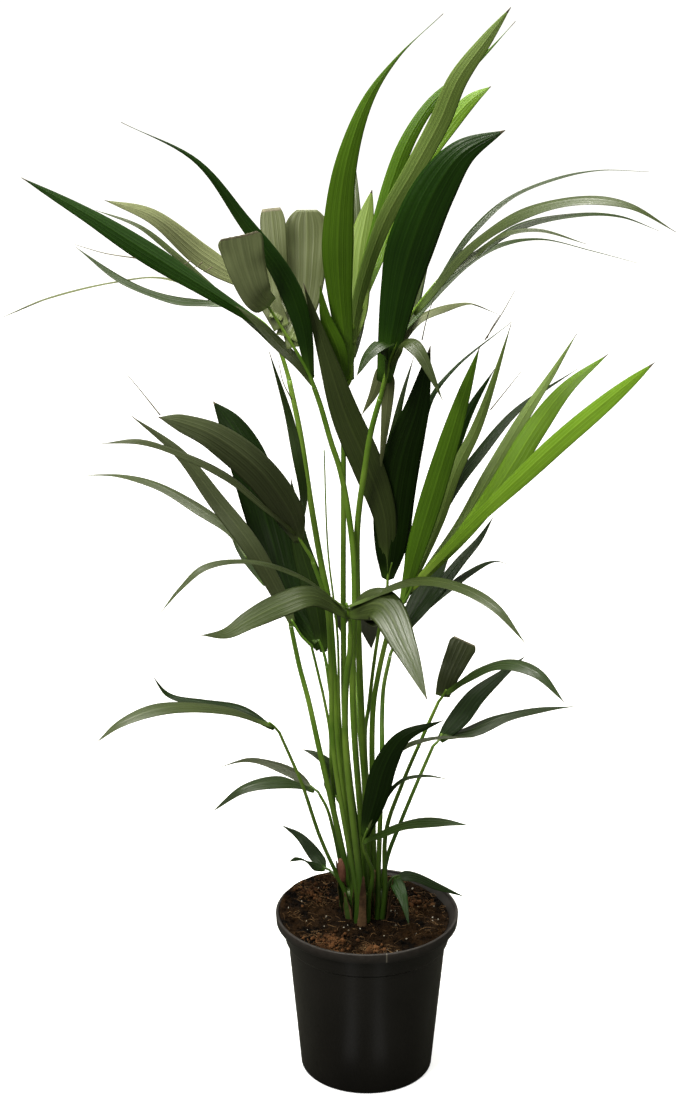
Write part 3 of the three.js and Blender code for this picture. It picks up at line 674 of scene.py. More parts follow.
def spline(points: Array, shares: Array) -> Array:
    """A centripetal Catmull-Rom curve.

    Each span is a cubic between two points, whose end tangents come from the chords around it, each
    divided by the square root of its length. Beyond the ends the curve takes the mirrored neighbour.

    Args:
        points: (n, 3) points that the curve passes through.
        shares: (m,) places along it, 0 to 1, with equal shares for the spans.

    Returns:
        (m, 3) points on the curve.
    """
    p = np.vstack([2 * points[0] - points[1], points, 2 * points[-1] - points[-2]])
    spans = len(points) - 1
    place = np.clip(shares, 0, 1) * spans
    first = np.minimum(place.astype(int), spans - 1)
    w = (place - first)[:, None]
    a, b, c, d = p[first], p[first + 1], p[first + 2], p[first + 3]
    ab, bc, cd = (np.sqrt(np.linalg.norm(v, axis=1, keepdims=True)) for v in (b - a, c - b, d - c))
    start = ((b - a) / ab - (c - a) / (ab + bc) + (c - b) / bc) * bc
    end = ((c - b) / bc - (d - b) / (bc + cd) + (d - c) / cd) * bc
    return (
        (2 * w**3 - 3 * w**2 + 1) * b
        + (w**3 - 2 * w**2 + w) * start
        + (3 * w**2 - 2 * w**3) * c
        + (w**3 - w**2) * end
    )


def tangents(centres: Array) -> Array:
    """Unit directions along a row of points, as the difference of each one's neighbours."""
    return unit(np.gradient(centres, axis=0))


def run_length(points: Array) -> Array:
    """The length run at each of a row of points, as the sum of the chords before it."""
    return np.concatenate([[0], np.cumsum(np.linalg.norm(np.diff(points, axis=0), axis=1))])


def smooth(x: Array, low: float, high: float) -> Array:
    """0 below low, 1 above high, and 3t²-2t³ between."""
    t = np.clip((x - low) / (high - low), 0, 1)
    return t * t * (3 - 2 * t)


def linked(name: str, data: bpy.types.ID) -> bpy.types.Object:
    """A new object in the scene, at the origin."""
    thing = bpy.data.objects.new(name, data)
    bpy.context.scene.collection.objects.link(thing)
    return thing


@dataclass
class Shape:
    """A mesh in the making: points in millimetres, quads, their material slots and their UV places."""

    points: list[Array] = field(default_factory=list)
    quads: list[Array] = field(default_factory=list)
    slots: list[Array] = field(default_factory=list)
    places: list[Array] = field(default_factory=list)
    caps: list[tuple[list[int], int]] = field(default_factory=list)
    count: int = 0

    def rings(self, grid: Array, places: Array, slots: Array) -> None:
        """Adds a tube of rings.

        Point (i, k) joins (i, k+1), (i+1, k+1) and (i+1, k) in a quad, the last point of a ring joins
        its first, and each end ring is closed by one face.

        Args:
            grid: (rows, count, 3) points.
            places: (rows, count, 2) UV places.
            slots: (rows - 1, count) material slots.
        """
        rows, size = grid.shape[:2]
        index = np.arange(rows * size).reshape(rows, size) + self.count
        after = np.roll(index, -1, axis=1)
        quads = np.stack([index[:-1], after[:-1], after[1:], index[1:]], -1).reshape(-1, 4)
        self.points.append(grid.reshape(-1, 3))
        self.places.append(places.reshape(-1, 2))
        self.quads.append(quads)
        self.slots.append(slots.reshape(-1))
        self.caps.append((index[0][::-1].tolist(), int(slots[0, 0])))
        self.caps.append((index[-1].tolist(), int(slots[-1, 0])))
        self.count += rows * size

    def build(self, name: str, materials: list[bpy.types.Material]) -> bpy.types.Object:
        """Makes the object, in metres, smooth, with its faces turned outwards.

        Args:
            name: the piece's name.
            materials: its material slots.

        Returns:
            The object, linked to the scene, at the origin.
        """
        points = np.vstack(self.points) * MM
        quads = np.vstack(self.quads)
        faces = quads.tolist() + [cap for cap, _ in self.caps]
        slots = np.concatenate([np.concatenate(self.slots), [s for _, s in self.caps]]).astype(np.int32)
        mesh = bpy.data.meshes.new(name)
        mesh.from_pydata(points.tolist(), [], faces)
        mesh.polygons.foreach_set("material_index", slots)
        mesh.polygons.foreach_set("use_smooth", np.ones(len(faces), bool))
        corners = np.empty(len(mesh.loops), np.int32)
        mesh.loops.foreach_get("vertex_index", corners)
        layer = mesh.uv_layers.new(name="Grain")
        layer.uv.foreach_set("vector", np.vstack(self.places)[corners].astype(np.float32).ravel())
        for material in materials:
            mesh.materials.append(material)
        mesh.validate()
        mesh.update()
        return linked(name, mesh)


def tube(
    shape: Shape,
    centres: Array,
    radii: Array,
    slot: int = 0,
    sides: int = 12,
    channel: float = 0.0,
    squash: Array | float = 1.0,
    facing: Point = (0.0, 1.0, 0.0),
) -> None:
    """Adds a limb: circles of the given radii carried along the centres, square to them.

    The side that looks along `facing` is pressed in by `channel` of the radius, as cos to the fourth
    power of the angle from it, and the section is flattened by `squash` along that direction.

    Args:
        shape: the mesh in the making.
        centres: (n, 3) points of the axis.
        radii: (n,) radii.
        slot: material slot.
        sides: points round a ring.
        channel: depth of the groove as a share of the radius.
        squash: thickness along `facing` as a share of the width.
        facing: the direction that the groove looks in.
    """
    along = tangents(centres)
    other = unit(np.cross(along, np.asarray(facing, float)))
    front = unit(np.cross(other, along))
    angle = np.arange(sides) * (2 * math.pi / sides)
    groove = 1 - channel * np.clip(np.cos(angle), 0, 1) ** 4
    across = np.sin(angle)[None, :, None] * other[:, None]
    forward = (np.cos(angle) * groove)[None, :, None] * front[:, None]
    flat = np.broadcast_to(np.asarray(squash, float), radii.shape)[:, None, None]
    grid = centres[:, None] + radii[:, None, None] * (across + flat * forward)
    run = run_length(centres)
    places = np.stack(np.broadcast_arrays(angle[None, :] / (2 * math.pi), run[:, None] / 100), -1)
    shape.rings(grid, places, np.full((len(centres) - 1, sides), slot))


# --- materials -----------------------------------------------------------------------------------------


class Nodes:
    """A material's or group's node tree, with short calls to add and join nodes."""

    def __init__(self, tree: bpy.types.NodeTree) -> None:
        """Args: tree, the node tree to work in."""
        self.tree = tree

    def add(self, kind: str, **settings: object) -> bpy.types.Node:
        """Adds a node and sets its properties, and its inputs where a name isn't a property."""
        node = self.tree.nodes.new(kind)
        for name, value in settings.items():
            if hasattr(node, name):
                setattr(node, name, value)
            else:
                node.inputs[name.replace("_", " ")].default_value = value
        return node

    def join(self, source: bpy.types.NodeSocket, target: bpy.types.NodeSocket) -> None:
        """Links two sockets."""
        self.tree.links.new(source, target)

    def math(self, operation: str, first: object, second: object = 0.0) -> bpy.types.NodeSocket:
        """A Math node on sockets or numbers, clamped to nothing. Returns its value."""
        node = self.add("ShaderNodeMath", operation=operation)
        for socket, value in zip(node.inputs, (first, second)):
            if isinstance(value, bpy.types.NodeSocket):
                self.join(value, socket)
            else:
                socket.default_value = value
        return node.outputs[0]

    def blend(self, factor: object, first: object, second: object) -> bpy.types.NodeSocket:
        """A colour Mix node on sockets or colours. Returns its result."""
        node = self.add("ShaderNodeMix", data_type="RGBA", blend_type="MIX")
        for socket, value in ((node.inputs[0], factor), (node.inputs[6], first), (node.inputs[7], second)):
            if isinstance(value, bpy.types.NodeSocket):
                self.join(value, socket)
            elif socket.type == "RGBA":
                socket.default_value = (*value, 1.0)
            else:
                socket.default_value = value
        return node.outputs[2]

    def ramp(
        self, value: object, start: float, end: float, low: float = 0.0, high: float = 1.0, soft: bool = False
    ) -> bpy.types.NodeSocket:
        """Maps start..end onto low..high, clamped.

        Args:
            value: the socket to map.
            start: the value that gives low.
            end: the value that gives high.
            low: the result at the start.
            high: the result at the end.
            soft: True for a smooth step instead of a straight line.

        Returns:
            The result's socket.
        """
        node = self.add("ShaderNodeMapRange", interpolation_type="SMOOTHSTEP" if soft else "LINEAR")
        for label, number in (("From Min", start), ("From Max", end), ("To Min", low), ("To Max", high)):
            node.inputs[label].default_value = number
        self.join(value, node.inputs["Value"])
        return node.outputs["Result"]

    def spread(self, value: object, low: float, high: float) -> bpy.types.NodeSocket:
        """Maps 0..1 onto low..high. Returns the value."""
        return self.ramp(value, 0.0, 1.0, low, high)

    def relief(
        self, shader: bpy.types.Node, height: bpy.types.NodeSocket, strength: float, distance: float
    ) -> None:
        """Joins a height to a shader's normal through a Bump node."""
        node = self.add("ShaderNodeBump", Strength=strength, Distance=distance)
        self.join(height, node.inputs["Height"])
        self.join(node.outputs[0], shader.inputs["Normal"])


def group(name: str, inputs: tuple[tuple[str, float], ...], outputs: tuple[str, ...]) -> tuple:
    """Starts a shader node group of value sockets.

    Args:
        name: the group's name.
        inputs: each input's name and default.
        outputs: each output's name.

    Returns:
        (the group, its Nodes, its input node, its output node)
    """
    tree = bpy.data.node_groups.new(name, "ShaderNodeTree")
    for label, value in inputs:
        tree.interface.new_socket(label, in_out="INPUT", socket_type="NodeSocketFloat").default_value = value
    for label in outputs:
        tree.interface.new_socket(label, in_out="OUTPUT", socket_type="NodeSocketFloat")
    nodes = Nodes(tree)
    return tree, nodes, nodes.add("NodeGroupInput"), nodes.add("NodeGroupOutput")


class Workshop:
    """Makes the materials, once each, from the finishes. Heights and widths on the pot are in metres."""

    VEINS = 15.0  # across a blade
    MAIN_VEINS = 6.0
    STREAK_DEPTH = 0.74  # how dark a streak is, as a share of the blade's colour
    MIDRIB_REACH = 0.035  # half its width, as a share of the blade's
    ROOT_REACH = 0.12  # how far the light root goes up a blade
    FOOT_SHADE_FADE = (0.17, 0.46)  # heights between which the painted shade on a petiole's foot fades out
    RIM_WEAR = (0.183, 0.197)  # heights between which the pot's wear grows
    SEAM_PLACE = 0.021  # of the mould seam, along X
    SEAM_HALF_WIDTH = 0.0007
    SEAM_FOOT = 0.186  # the seam shows above this height

    def __init__(self) -> None:
        """Builds the shared node groups."""
        self.made: dict[str, bpy.types.Material] = {}
        self.veins = self.vein_group()
        self.mottle = self.mottle_group()

    def vein_group(self) -> bpy.types.NodeTree:
        """Lengthwise veins: a ridge where the cosine of the place across, times the count, is near 1; and
        streaks, from noise stretched along the blade that drifts from leaflet to leaflet."""
        tree, n, source, sink = group(
            "lengthwise_veins", (("Count", 12.0), ("Sharpness", 6.0)), ("Mask", "Middle", "Along", "Streaks")
        )
        uv = n.add("ShaderNodeUVMap", uv_map="Grain")
        split = n.add("ShaderNodeSeparateXYZ")
        n.join(uv.outputs[0], split.inputs[0])
        wander = n.add("ShaderNodeTexNoise", Scale=2.5, Detail=1.0)
        n.join(uv.outputs[0], wander.inputs["Vector"])
        bent = n.math("MULTIPLY_ADD", wander.outputs[0], 0.02)
        n.join(split.outputs[0], bent.node.inputs[2])
        turns = n.math("MULTIPLY", bent, source.outputs["Count"])
        wave = n.math("COSINE", n.math("MULTIPLY", turns, 2 * math.pi))
        lifted = n.math("MULTIPLY_ADD", wave, 0.5)
        lifted.node.inputs[2].default_value = 0.5
        n.join(n.math("POWER", lifted, source.outputs["Sharpness"]), sink.inputs["Mask"])
        middle = n.math("ABSOLUTE", n.math("SUBTRACT", split.outputs[0], 0.5))
        n.join(n.ramp(middle, 0.0, self.MIDRIB_REACH, 1.0, 0.0, soft=True), sink.inputs["Middle"])
        n.join(split.outputs[1], sink.inputs["Along"])
        stretch = n.add("ShaderNodeMapping", Scale=(16.0, 1.3, 1.0))
        place = n.add("ShaderNodeTexCoord")
        n.join(uv.outputs[0], stretch.inputs["Vector"])
        lines = n.add("ShaderNodeTexNoise", noise_dimensions="4D", Scale=1.0, Detail=3.0, Roughness=0.6)
        n.join(stretch.outputs[0], lines.inputs["Vector"])
        far = n.add("ShaderNodeTexNoise", Scale=9.0, Detail=0.0)
        n.join(place.outputs["Object"], far.inputs["Vector"])
        n.join(n.math("MULTIPLY", far.outputs[0], 3.0), lines.inputs["W"])
        n.join(n.ramp(lines.outputs[0], 0.32, 0.68), sink.inputs["Streaks"])
        return tree

    def mottle_group(self) -> bpy.types.NodeTree:
        """Clouds and specks on object coordinates, each 0 to 1."""
        tree, n, source, sink = group(
            "mottle", (("Cloud Scale", 20.0), ("Speck Scale", 300.0)), ("Clouds", "Specks")
        )
        place = n.add("ShaderNodeTexCoord")
        for label, detail, low, high in (("Cloud", 3.0, 0.35, 0.65), ("Speck", 2.0, 0.3, 0.75)):
            noise = n.add("ShaderNodeTexNoise", Detail=detail)
            n.join(place.outputs["Object"], noise.inputs["Vector"])
            n.join(source.outputs[f"{label} Scale"], noise.inputs["Scale"])
            n.join(n.ramp(noise.outputs[0], low, high), sink.inputs[f"{label}s"])
        return tree

    def start(self, name: str) -> tuple[bpy.types.Material, Nodes, bpy.types.Node]:
        """A new material with its nodes and its Principled shader."""
        material = bpy.data.materials.new(name)
        material.use_nodes = True
        shader = material.node_tree.nodes["Principled BSDF"]
        return material, Nodes(material.node_tree), shader

    def placed(self, nodes: Nodes, tree: bpy.types.NodeTree, **values: float) -> bpy.types.Node:
        """Places a shared group with its own values."""
        node = nodes.add("ShaderNodeGroup", node_tree=tree)
        for name, value in values.items():
            node.inputs[name.replace("_", " ")].default_value = value
        return node

    def leaf(self, tone: Tone, side: Side) -> bpy.types.Material:
        """A blade: streaks, veins and a pale midrib on its own map, a light root, waxy gloss and relief."""
        name = f"leaf_{tone.value}_{side.value}"
        if name in self.made:
            return self.made[name]
        finish = LEAF_FINISHES[tone]
        material, n, shader = self.start(name)
        veins = self.placed(n, self.veins, Count=self.VEINS, Sharpness=2.0)
        broad = self.placed(n, self.veins, Count=self.MAIN_VEINS, Sharpness=10.0)
        mottle = self.placed(n, self.mottle, Cloud_Scale=22.0, Speck_Scale=420.0)
        dull = tuple(0.8 * c + 0.2 * sum(finish.blade) / 3 for c in finish.blade)
        base = finish.blade if side is Side.UPPER else tuple(1.35 * c for c in dull)
        shade = tuple(self.STREAK_DEPTH * c for c in base)
        colour = n.blend(veins.outputs["Streaks"], shade, base)
        colour = n.blend(n.spread(mottle.outputs["Clouds"], 0.25, 0.0), colour, finish.vein)
        colour = n.blend(n.spread(veins.outputs["Mask"], 0.0, 0.35), colour, finish.vein)
        colour = n.blend(n.spread(broad.outputs["Mask"], 0.0, 0.28), colour, finish.vein)
        colour = n.blend(n.spread(veins.outputs["Middle"], 0.0, 0.9), colour, finish.vein)
        fade = n.ramp(veins.outputs["Along"], 0.0, self.ROOT_REACH, 0.8, 0.0, soft=True)
        n.join(n.blend(fade, colour, finish.root), shader.inputs["Base Color"])
        shader.inputs["Specular IOR Level"].default_value = finish.shine
        rough = finish.roughness + (0.0 if side is Side.UPPER else 0.12)
        n.join(n.spread(mottle.outputs["Specks"], rough - 0.04, rough + 0.10), shader.inputs["Roughness"])
        height = n.math("ADD", n.math("MULTIPLY", veins.outputs["Mask"], 0.5), veins.outputs["Middle"])
        height = n.math("ADD", height, n.math("MULTIPLY", mottle.outputs["Specks"], 0.12))
        height = n.math("ADD", height, n.math("MULTIPLY", broad.outputs["Mask"], 0.8))
        n.relief(shader, height, finish.relief, 0.0004)
        self.made[name] = material
        return material

    def plain(self, name: str, finish: PlainFinish) -> bpy.types.Material:
        """A finish of two colours that clouds and specks mix, with roughness and relief from the same."""
        if name in self.made:
            return self.made[name]
        material, n, shader = self.start(name)
        place = n.add("ShaderNodeTexCoord")
        mapping = n.add("ShaderNodeMapping")
        mapping.inputs["Scale"].default_value = finish.stretch
        n.join(place.outputs["Object"], mapping.inputs["Vector"])
        noise = n.add("ShaderNodeTexNoise", Scale=finish.scale, Detail=5.0, Roughness=0.65)
        n.join(mapping.outputs[0], noise.inputs["Vector"])
        mottle = self.placed(n, self.mottle, Cloud_Scale=finish.scale * 0.3, Speck_Scale=finish.scale * 4)
        fine = n.math("MULTIPLY", noise.outputs[0], 0.6)
        clouds = n.math("MULTIPLY", mottle.outputs["Clouds"], 0.4)
        clear = n.ramp(n.math("ADD", fine, clouds), 0.3, 0.7)
        colour = n.blend(clear, finish.low, finish.high)
        # Painted shade: low down the colour darkens to the foot colour, fading out by the upper height.
        if finish.foot:
            split = n.add("ShaderNodeSeparateXYZ")
            n.join(place.outputs["Object"], split.inputs[0])
            colour = n.blend(n.ramp(split.outputs[2], *self.FOOT_SHADE_FADE, soft=True), finish.foot, colour)
        n.join(colour, shader.inputs["Base Color"])
        shader.inputs["Specular IOR Level"].default_value = finish.shine
        n.join(n.spread(mottle.outputs["Specks"], *finish.roughness), shader.inputs["Roughness"])
        n.relief(shader, n.math("ADD", clear, mottle.outputs["Specks"]), finish.relief, finish.distance)
        self.made[name] = material
        return material

    def pot(self) -> bpy.types.Material:
        """Satin black plastic: faint clouds, specks of dust, a worn rim and a mould seam in front."""
        material, n, shader = self.start("pot_black")
        place = n.add("ShaderNodeTexCoord")
        split = n.add("ShaderNodeSeparateXYZ")
        n.join(place.outputs["Object"], split.inputs[0])
        mottle = self.placed(n, self.mottle, Cloud_Scale=14.0, Speck_Scale=900.0)
        dust = self.placed(n, self.mottle, Cloud_Scale=160.0, Speck_Scale=260.0)
        rim = n.ramp(split.outputs[2], *self.RIM_WEAR, soft=True)
        colour = n.blend(mottle.outputs["Clouds"], (0.0052, 0.0045, 0.0043), (0.0082, 0.0070, 0.0066))
        both = n.math("MULTIPLY", dust.outputs["Specks"], dust.outputs["Clouds"])
        specks = n.math("GREATER_THAN", both, 0.93)
        colour = n.blend(n.math("MULTIPLY", specks, 0.10), colour, (0.16, 0.13, 0.11))
        worn = n.math("MULTIPLY", rim, n.spread(dust.outputs["Clouds"], 0.45, 0.9))
        colour = n.blend(worn, colour, (0.044, 0.036, 0.034))
        off = n.math("ABSOLUTE", n.math("SUBTRACT", split.outputs[0], self.SEAM_PLACE))
        seam = n.math("LESS_THAN", off, self.SEAM_HALF_WIDTH)
        seam = n.math("MULTIPLY", seam, n.math("LESS_THAN", split.outputs[1], 0.0))
        seam = n.math("MULTIPLY", seam, n.math("GREATER_THAN", split.outputs[2], self.SEAM_FOOT))
        colour = n.blend(n.math("MULTIPLY", seam, 0.7), colour, (0.22, 0.20, 0.17))
        n.join(colour, shader.inputs["Base Color"])
        rough = n.math("MULTIPLY_ADD", rim, 0.2)
        n.join(n.spread(mottle.outputs["Specks"], 0.30, 0.38), rough.node.inputs[2])
        n.join(rough, shader.inputs["Roughness"])
        n.relief(shader, n.math("ADD", mottle.outputs["Specks"], mottle.outputs["Clouds"]), 0.12, 0.0003)
        return material

    def floor(self) -> bpy.types.Material:
        """A plain pale floor, which throws little light back up."""
        material, n, shader = self.start("studio_floor")
        mottle = self.placed(n, self.mottle, Cloud_Scale=1.5, Speck_Scale=60.0)
        seen = n.add("ShaderNodeLightPath")
        pale = n.blend(mottle.outputs["Clouds"], (0.88, 0.88, 0.88), (0.90, 0.90, 0.90))
        n.join(n.blend(seen.outputs["Is Camera Ray"], (0.08, 0.08, 0.07), pale), shader.inputs["Base Color"])
        n.join(
            n.blend(seen.outputs["Is Camera Ray"], (0.0, 0.0, 0.0), (0.62, 0.62, 0.64)),
            shader.inputs["Emission Color"],
        )
        shader.inputs["Emission Strength"].default_value = 1.0
        shader.inputs["Roughness"].default_value = 0.9
        shader.inputs["Specular IOR Level"].default_value = 0.0
        return material


def settle(piece: bpy.types.Object, slot: str, *nodes: str) -> None:
    """Makes a finished piece ride the plant's one body and stand for CAD nodes.

    Args:
        piece: the finished object.
        slot: the record's material slot; not used.
        nodes: the CAD nodes it replaces.
    """
    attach(piece, "root")
    if nodes:
        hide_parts(*nodes)
    LOG.info("%s: %d faces, for %s", piece.name, len(piece.data.polygons), ", ".join(nodes) or "nothing")


# --- the pot ---------------------------------------------------------------------------------------------


@dataclass(frozen=True)
class Pot:
    """The nursery pot: one profile turned round, with rounded edges and a raised middle underneath."""

    height: float = 197.0
    rim_radius: float = 105.0
    lip_height: float = 12.0
    lip_width: float = 3.5
    lip_depth: float = 10.0
    collar_radius: float = 96.5
    collar_foot: float = 94.0
    ledge: float = 160.0
    body_top: float = 90.5
    foot_radius: float = 76.0
    wall: float = 2.4
    floor: float = 3.0
    facets: int = 160

    def body(self, z: float) -> float:
        """The outer radius of the tapering body at a height, by straight-line taper."""
        return self.foot_radius + (self.body_top - self.foot_radius) * z / self.ledge

    def profile(self) -> list[tuple[float, float, float]]:
        """The section's corners from the middle underneath, round the outside and rim, to the middle of
        the inner floor, each as (radius, height, rounding)."""
        step = self.ledge + self.collar_foot - self.body_top
        inner = self.rim_radius - self.lip_width
        neck = self.collar_radius - self.wall
        shoulder = self.height - self.lip_depth
        lip_foot = self.height - self.lip_height
        return [
            (0.0, 1.2, 0.0),
            (self.foot_radius - 9.0, 1.2, 0.5),
            (self.foot_radius - 7.5, 0.0, 0.5),
            (self.foot_radius, 0.0, 2.6),
            (self.body_top, self.ledge, 1.2),
            (self.collar_foot, step, 1.6),
            (self.collar_radius, lip_foot, 1.5),
            (self.rim_radius - 0.8, lip_foot, 1.2),
            (self.rim_radius, self.height, 1.6),
            (inner, self.height, 1.4),
            (inner, shoulder + inner - neck, 1.5),
            (neck, shoulder, 1.5),
            (self.collar_foot - self.wall, step + self.wall, 1.0),
            (self.body_top - self.wall, self.ledge, 1.0),
            (self.body(self.floor) - self.wall, self.floor, 2.0),
            (0.0, self.floor, 0.0),
        ]

    def rounded(self) -> Array:
        """The profile with each corner cut back by its rounding and bridged by a quadratic arc of 4 steps."""
        corners = self.profile()
        points: list[tuple[float, float]] = []
        for before, here, after in zip([corners[0], *corners[:-1]], corners, [*corners[1:], corners[-1]]):
            spot = np.array(here[:2])
            if not here[2]:
                points.append(tuple(spot))
                continue
            back, on = np.array(before[:2]) - spot, np.array(after[:2]) - spot
            back_length, on_length = np.linalg.norm(back), np.linalg.norm(on)
            start = spot + back / back_length * min(here[2], back_length * 0.45)
            end = spot + on / on_length * min(here[2], on_length * 0.45)
            for t in np.linspace(0, 1, 5):
                points.append(tuple((1 - t) ** 2 * start + 2 * t * (1 - t) * spot + t * t * end))
        return np.array(points)

    def build(self, shop: Workshop) -> None:
        """Turns the profile about the upright axis: (r cos a, r sin a, z) for each angle a."""
        section = self.rounded()
        angle = np.arange(self.facets) * (2 * math.pi / self.facets)
        radius = np.maximum(section[:, 0], 0.05)
        grid = np.stack(
            [
                radius[:, None] * np.cos(angle),
                radius[:, None] * np.sin(angle),
                np.broadcast_to(section[:, 1:2], (len(section), self.facets)),
            ],
            -1,
        )
        run = run_length(section) / 100
        places = np.stack(np.broadcast_arrays(angle / (2 * math.pi), run[:, None]), -1)
        shape = Shape()
        shape.rings(grid, places, np.zeros((len(section) - 1, self.facets)))
        settle(shape.build("nursery_pot", [shop.pot()]), "pot_plastic", "pot")


# --- the soil --------------------------------------------------------------------------------------------


@dataclass(frozen=True)
class Soil:
    """Peat heaped to the rim, with crumbs, coir, straw and perlite on it."""

    level: float = 187.0
    dome: float = 4.0
    heap: float = 13.5
    heap_bearing: float = 148.0
    heap_spread: float = 1.3
    inner_radius: float = 93.9
    lip_radius: float = 100.6
    depth: float = 14.0
    rings: int = 90
    facets: int = 240
    waves: int = 40
    crumbs: int = 2600
    coir_clumps: tuple[tuple[float, float, float, int], ...] = (
        (-42.0, -66.0, 21.0, 190),
        (52.0, 32.0, 20.0, 120),
        (-62.0, 44.0, 20.0, 80),
        (8.0, -82.0, 14.0, 50),
    )
    fibres: int = 340
    perlite: int = 46
    seed: int = 21

    def relief(self, x: Array, y: Array) -> Array:
        """Sum of sine waves of random direction, 5 to 40 mm long, each a twentieth of its length high."""
        draw = np.random.default_rng(self.seed)
        length = np.exp(draw.uniform(np.log(5), np.log(40), self.waves))
        bearing = draw.uniform(0, 2 * math.pi, self.waves)
        start = draw.uniform(0, 2 * math.pi, self.waves)
        phase = (
            x[..., None] * np.cos(bearing) + y[..., None] * np.sin(bearing)
        ) * (2 * math.pi / length) + start
        return (np.sin(phase) * length).sum(-1) * 0.05 / math.sqrt(self.waves)

    def edge(self, angle: Array) -> tuple[Array, Array]:
        """The soil's outer radius and height at a bearing: heaped over towards one side, up to the lip."""
        off = np.angle(np.exp(1j * (angle - math.radians(self.heap_bearing))))
        lift = self.heap * np.exp(-((off / self.heap_spread) ** 2))
        height = self.level + lift
        radius = np.clip(self.inner_radius + height - self.level, self.inner_radius, self.lip_radius)
        return radius, height

    def surface(self, share: Array, angle: Array) -> Array:
        """A point of the soil's top: share of the edge's radius, domed in the middle, plus the relief."""
        radius, height = self.edge(angle)
        r = share * radius
        x, y = r * np.cos(angle), r * np.sin(angle)
        z = self.level + self.dome * (1 - share**2) + (height - self.level) * share**3
        calm = 1 - 0.7 * share**8
        return np.stack([x, y, z + self.relief(x, y) * calm], -1)

    def ground(self) -> Shape:
        """The top as rings from the edge to the middle, and a skirt down inside the pot under it."""
        share = np.linspace(1, 0.002, self.rings)[:, None]
        angle = (np.arange(self.facets) * (2 * math.pi / self.facets))[None, :]
        share, angle = np.broadcast_arrays(share, angle)
        top = self.surface(share, angle)
        skirt = top[:1].copy()
        skirt[..., :2] *= 0.93
        skirt[..., 2] = self.level - self.depth
        grid = np.concatenate([skirt, top])
        shape = Shape()
        shape.rings(grid, grid[..., :2] / 100, np.zeros((self.rings, self.facets)))
        return shape

    def crumb_shape(self, places: Array, sizes: Array, draw: np.random.Generator) -> Shape:
        """Rough lumps: rings of 3, 5 and 3 points round a short axis, each point moved at random and the
        whole turned by a random rotation.

        Args:
            places: (n, 3) centres.
            sizes: (n,) radii.
            draw: the random numbers.

        Returns:
            One mesh of all of them.
        """
        count, ring = len(places), 5
        angle = np.arange(ring) * (2 * math.pi / ring)
        heights, widths = np.array([-0.8, -0.25, 0.35, 0.85]), np.array([0.45, 1.0, 0.95, 0.4])
        base = np.stack(
            [
                widths[:, None] * np.cos(angle),
                widths[:, None] * np.sin(angle),
                np.broadcast_to(heights[:, None], (4, ring)),
            ],
            -1,
        )
        lumps = base[None] * draw.uniform(0.55, 1.25, (count, 1, 1, 3))
        lumps = lumps + draw.normal(0, 0.16, (count, 4, ring, 3))
        q = unit(draw.normal(size=(count, 4)))
        w, x, y, z = q.T
        turn = np.stack(
            [
                np.stack([1 - 2 * (y * y + z * z), 2 * (x * y - z * w), 2 * (x * z + y * w)], -1),
                np.stack([2 * (x * y + z * w), 1 - 2 * (x * x + z * z), 2 * (y * z - x * w)], -1),
                np.stack([2 * (x * z - y * w), 2 * (y * z + x * w), 1 - 2 * (x * x + y * y)], -1),
            ],
            1,
        )
        lumps = np.einsum("nij,nrkj->nrki", turn, lumps) * sizes[:, None, None, None] + places[:, None, None]
        shape = Shape()
        for lump in lumps:
            shape.rings(lump, np.zeros((4, ring, 2)), np.zeros((3, ring)))
        return shape

    def scatter(self, count: int, draw: np.random.Generator, most: float = 0.97) -> tuple[Array, Array]:
        """Random places evenly over the top: (share, angle)."""
        return np.sqrt(draw.uniform(0, most**2, count)), draw.uniform(0, 2 * math.pi, count)

    def near(
        self, x: float, y: float, spread: float, count: int, draw: np.random.Generator
    ) -> tuple[Array, Array]:
        """Random places around a spot: (share, angle), kept inside the edge."""
        px, py = draw.normal(x, spread * 0.5, count), draw.normal(y, spread * 0.5, count)
        angle = np.arctan2(py, px)
        radius, _ = self.edge(angle)
        return np.clip(np.hypot(px, py) / radius, 0, 0.96), angle

    def strands(
        self, share: Array, angle: Array, length: Array, radius: Array, draw: np.random.Generator
    ) -> Shape:
        """Loose fibres: thin three-sided tubes on random curved lines of five points over the top."""
        shape = Shape()
        start = self.surface(share, angle)
        for spot, run, thick in zip(start, length, radius):
            heading = draw.uniform(0, 2 * math.pi)
            bend = draw.normal(0, 0.9)
            t = np.linspace(-0.5, 0.5, 5)
            bearing = heading + bend * t * 2
            line = np.stack([np.cos(bearing) * t * run, np.sin(bearing) * t * run], -1) + spot[:2]
            away = np.hypot(*line.T)
            line *= np.minimum(1, 97.0 / np.maximum(away, 1e-6))[:, None]
            around = np.arctan2(line[:, 1], line[:, 0])
            edge, _ = self.edge(around)
            height = self.surface(np.clip(np.hypot(*line.T) / edge, 0, 1), around)[:, 2]
            lift = 0.4 + draw.uniform(0.3, 2.2) * (1 - (t * 2) ** 2) + draw.normal(0, 0.35, 5)
            centres = np.column_stack([line, height + lift])
            tube(shape, centres, np.linspace(thick, thick * 0.6, 5), sides=3, facing=(0.1, 0.2, 1.0))
        return shape

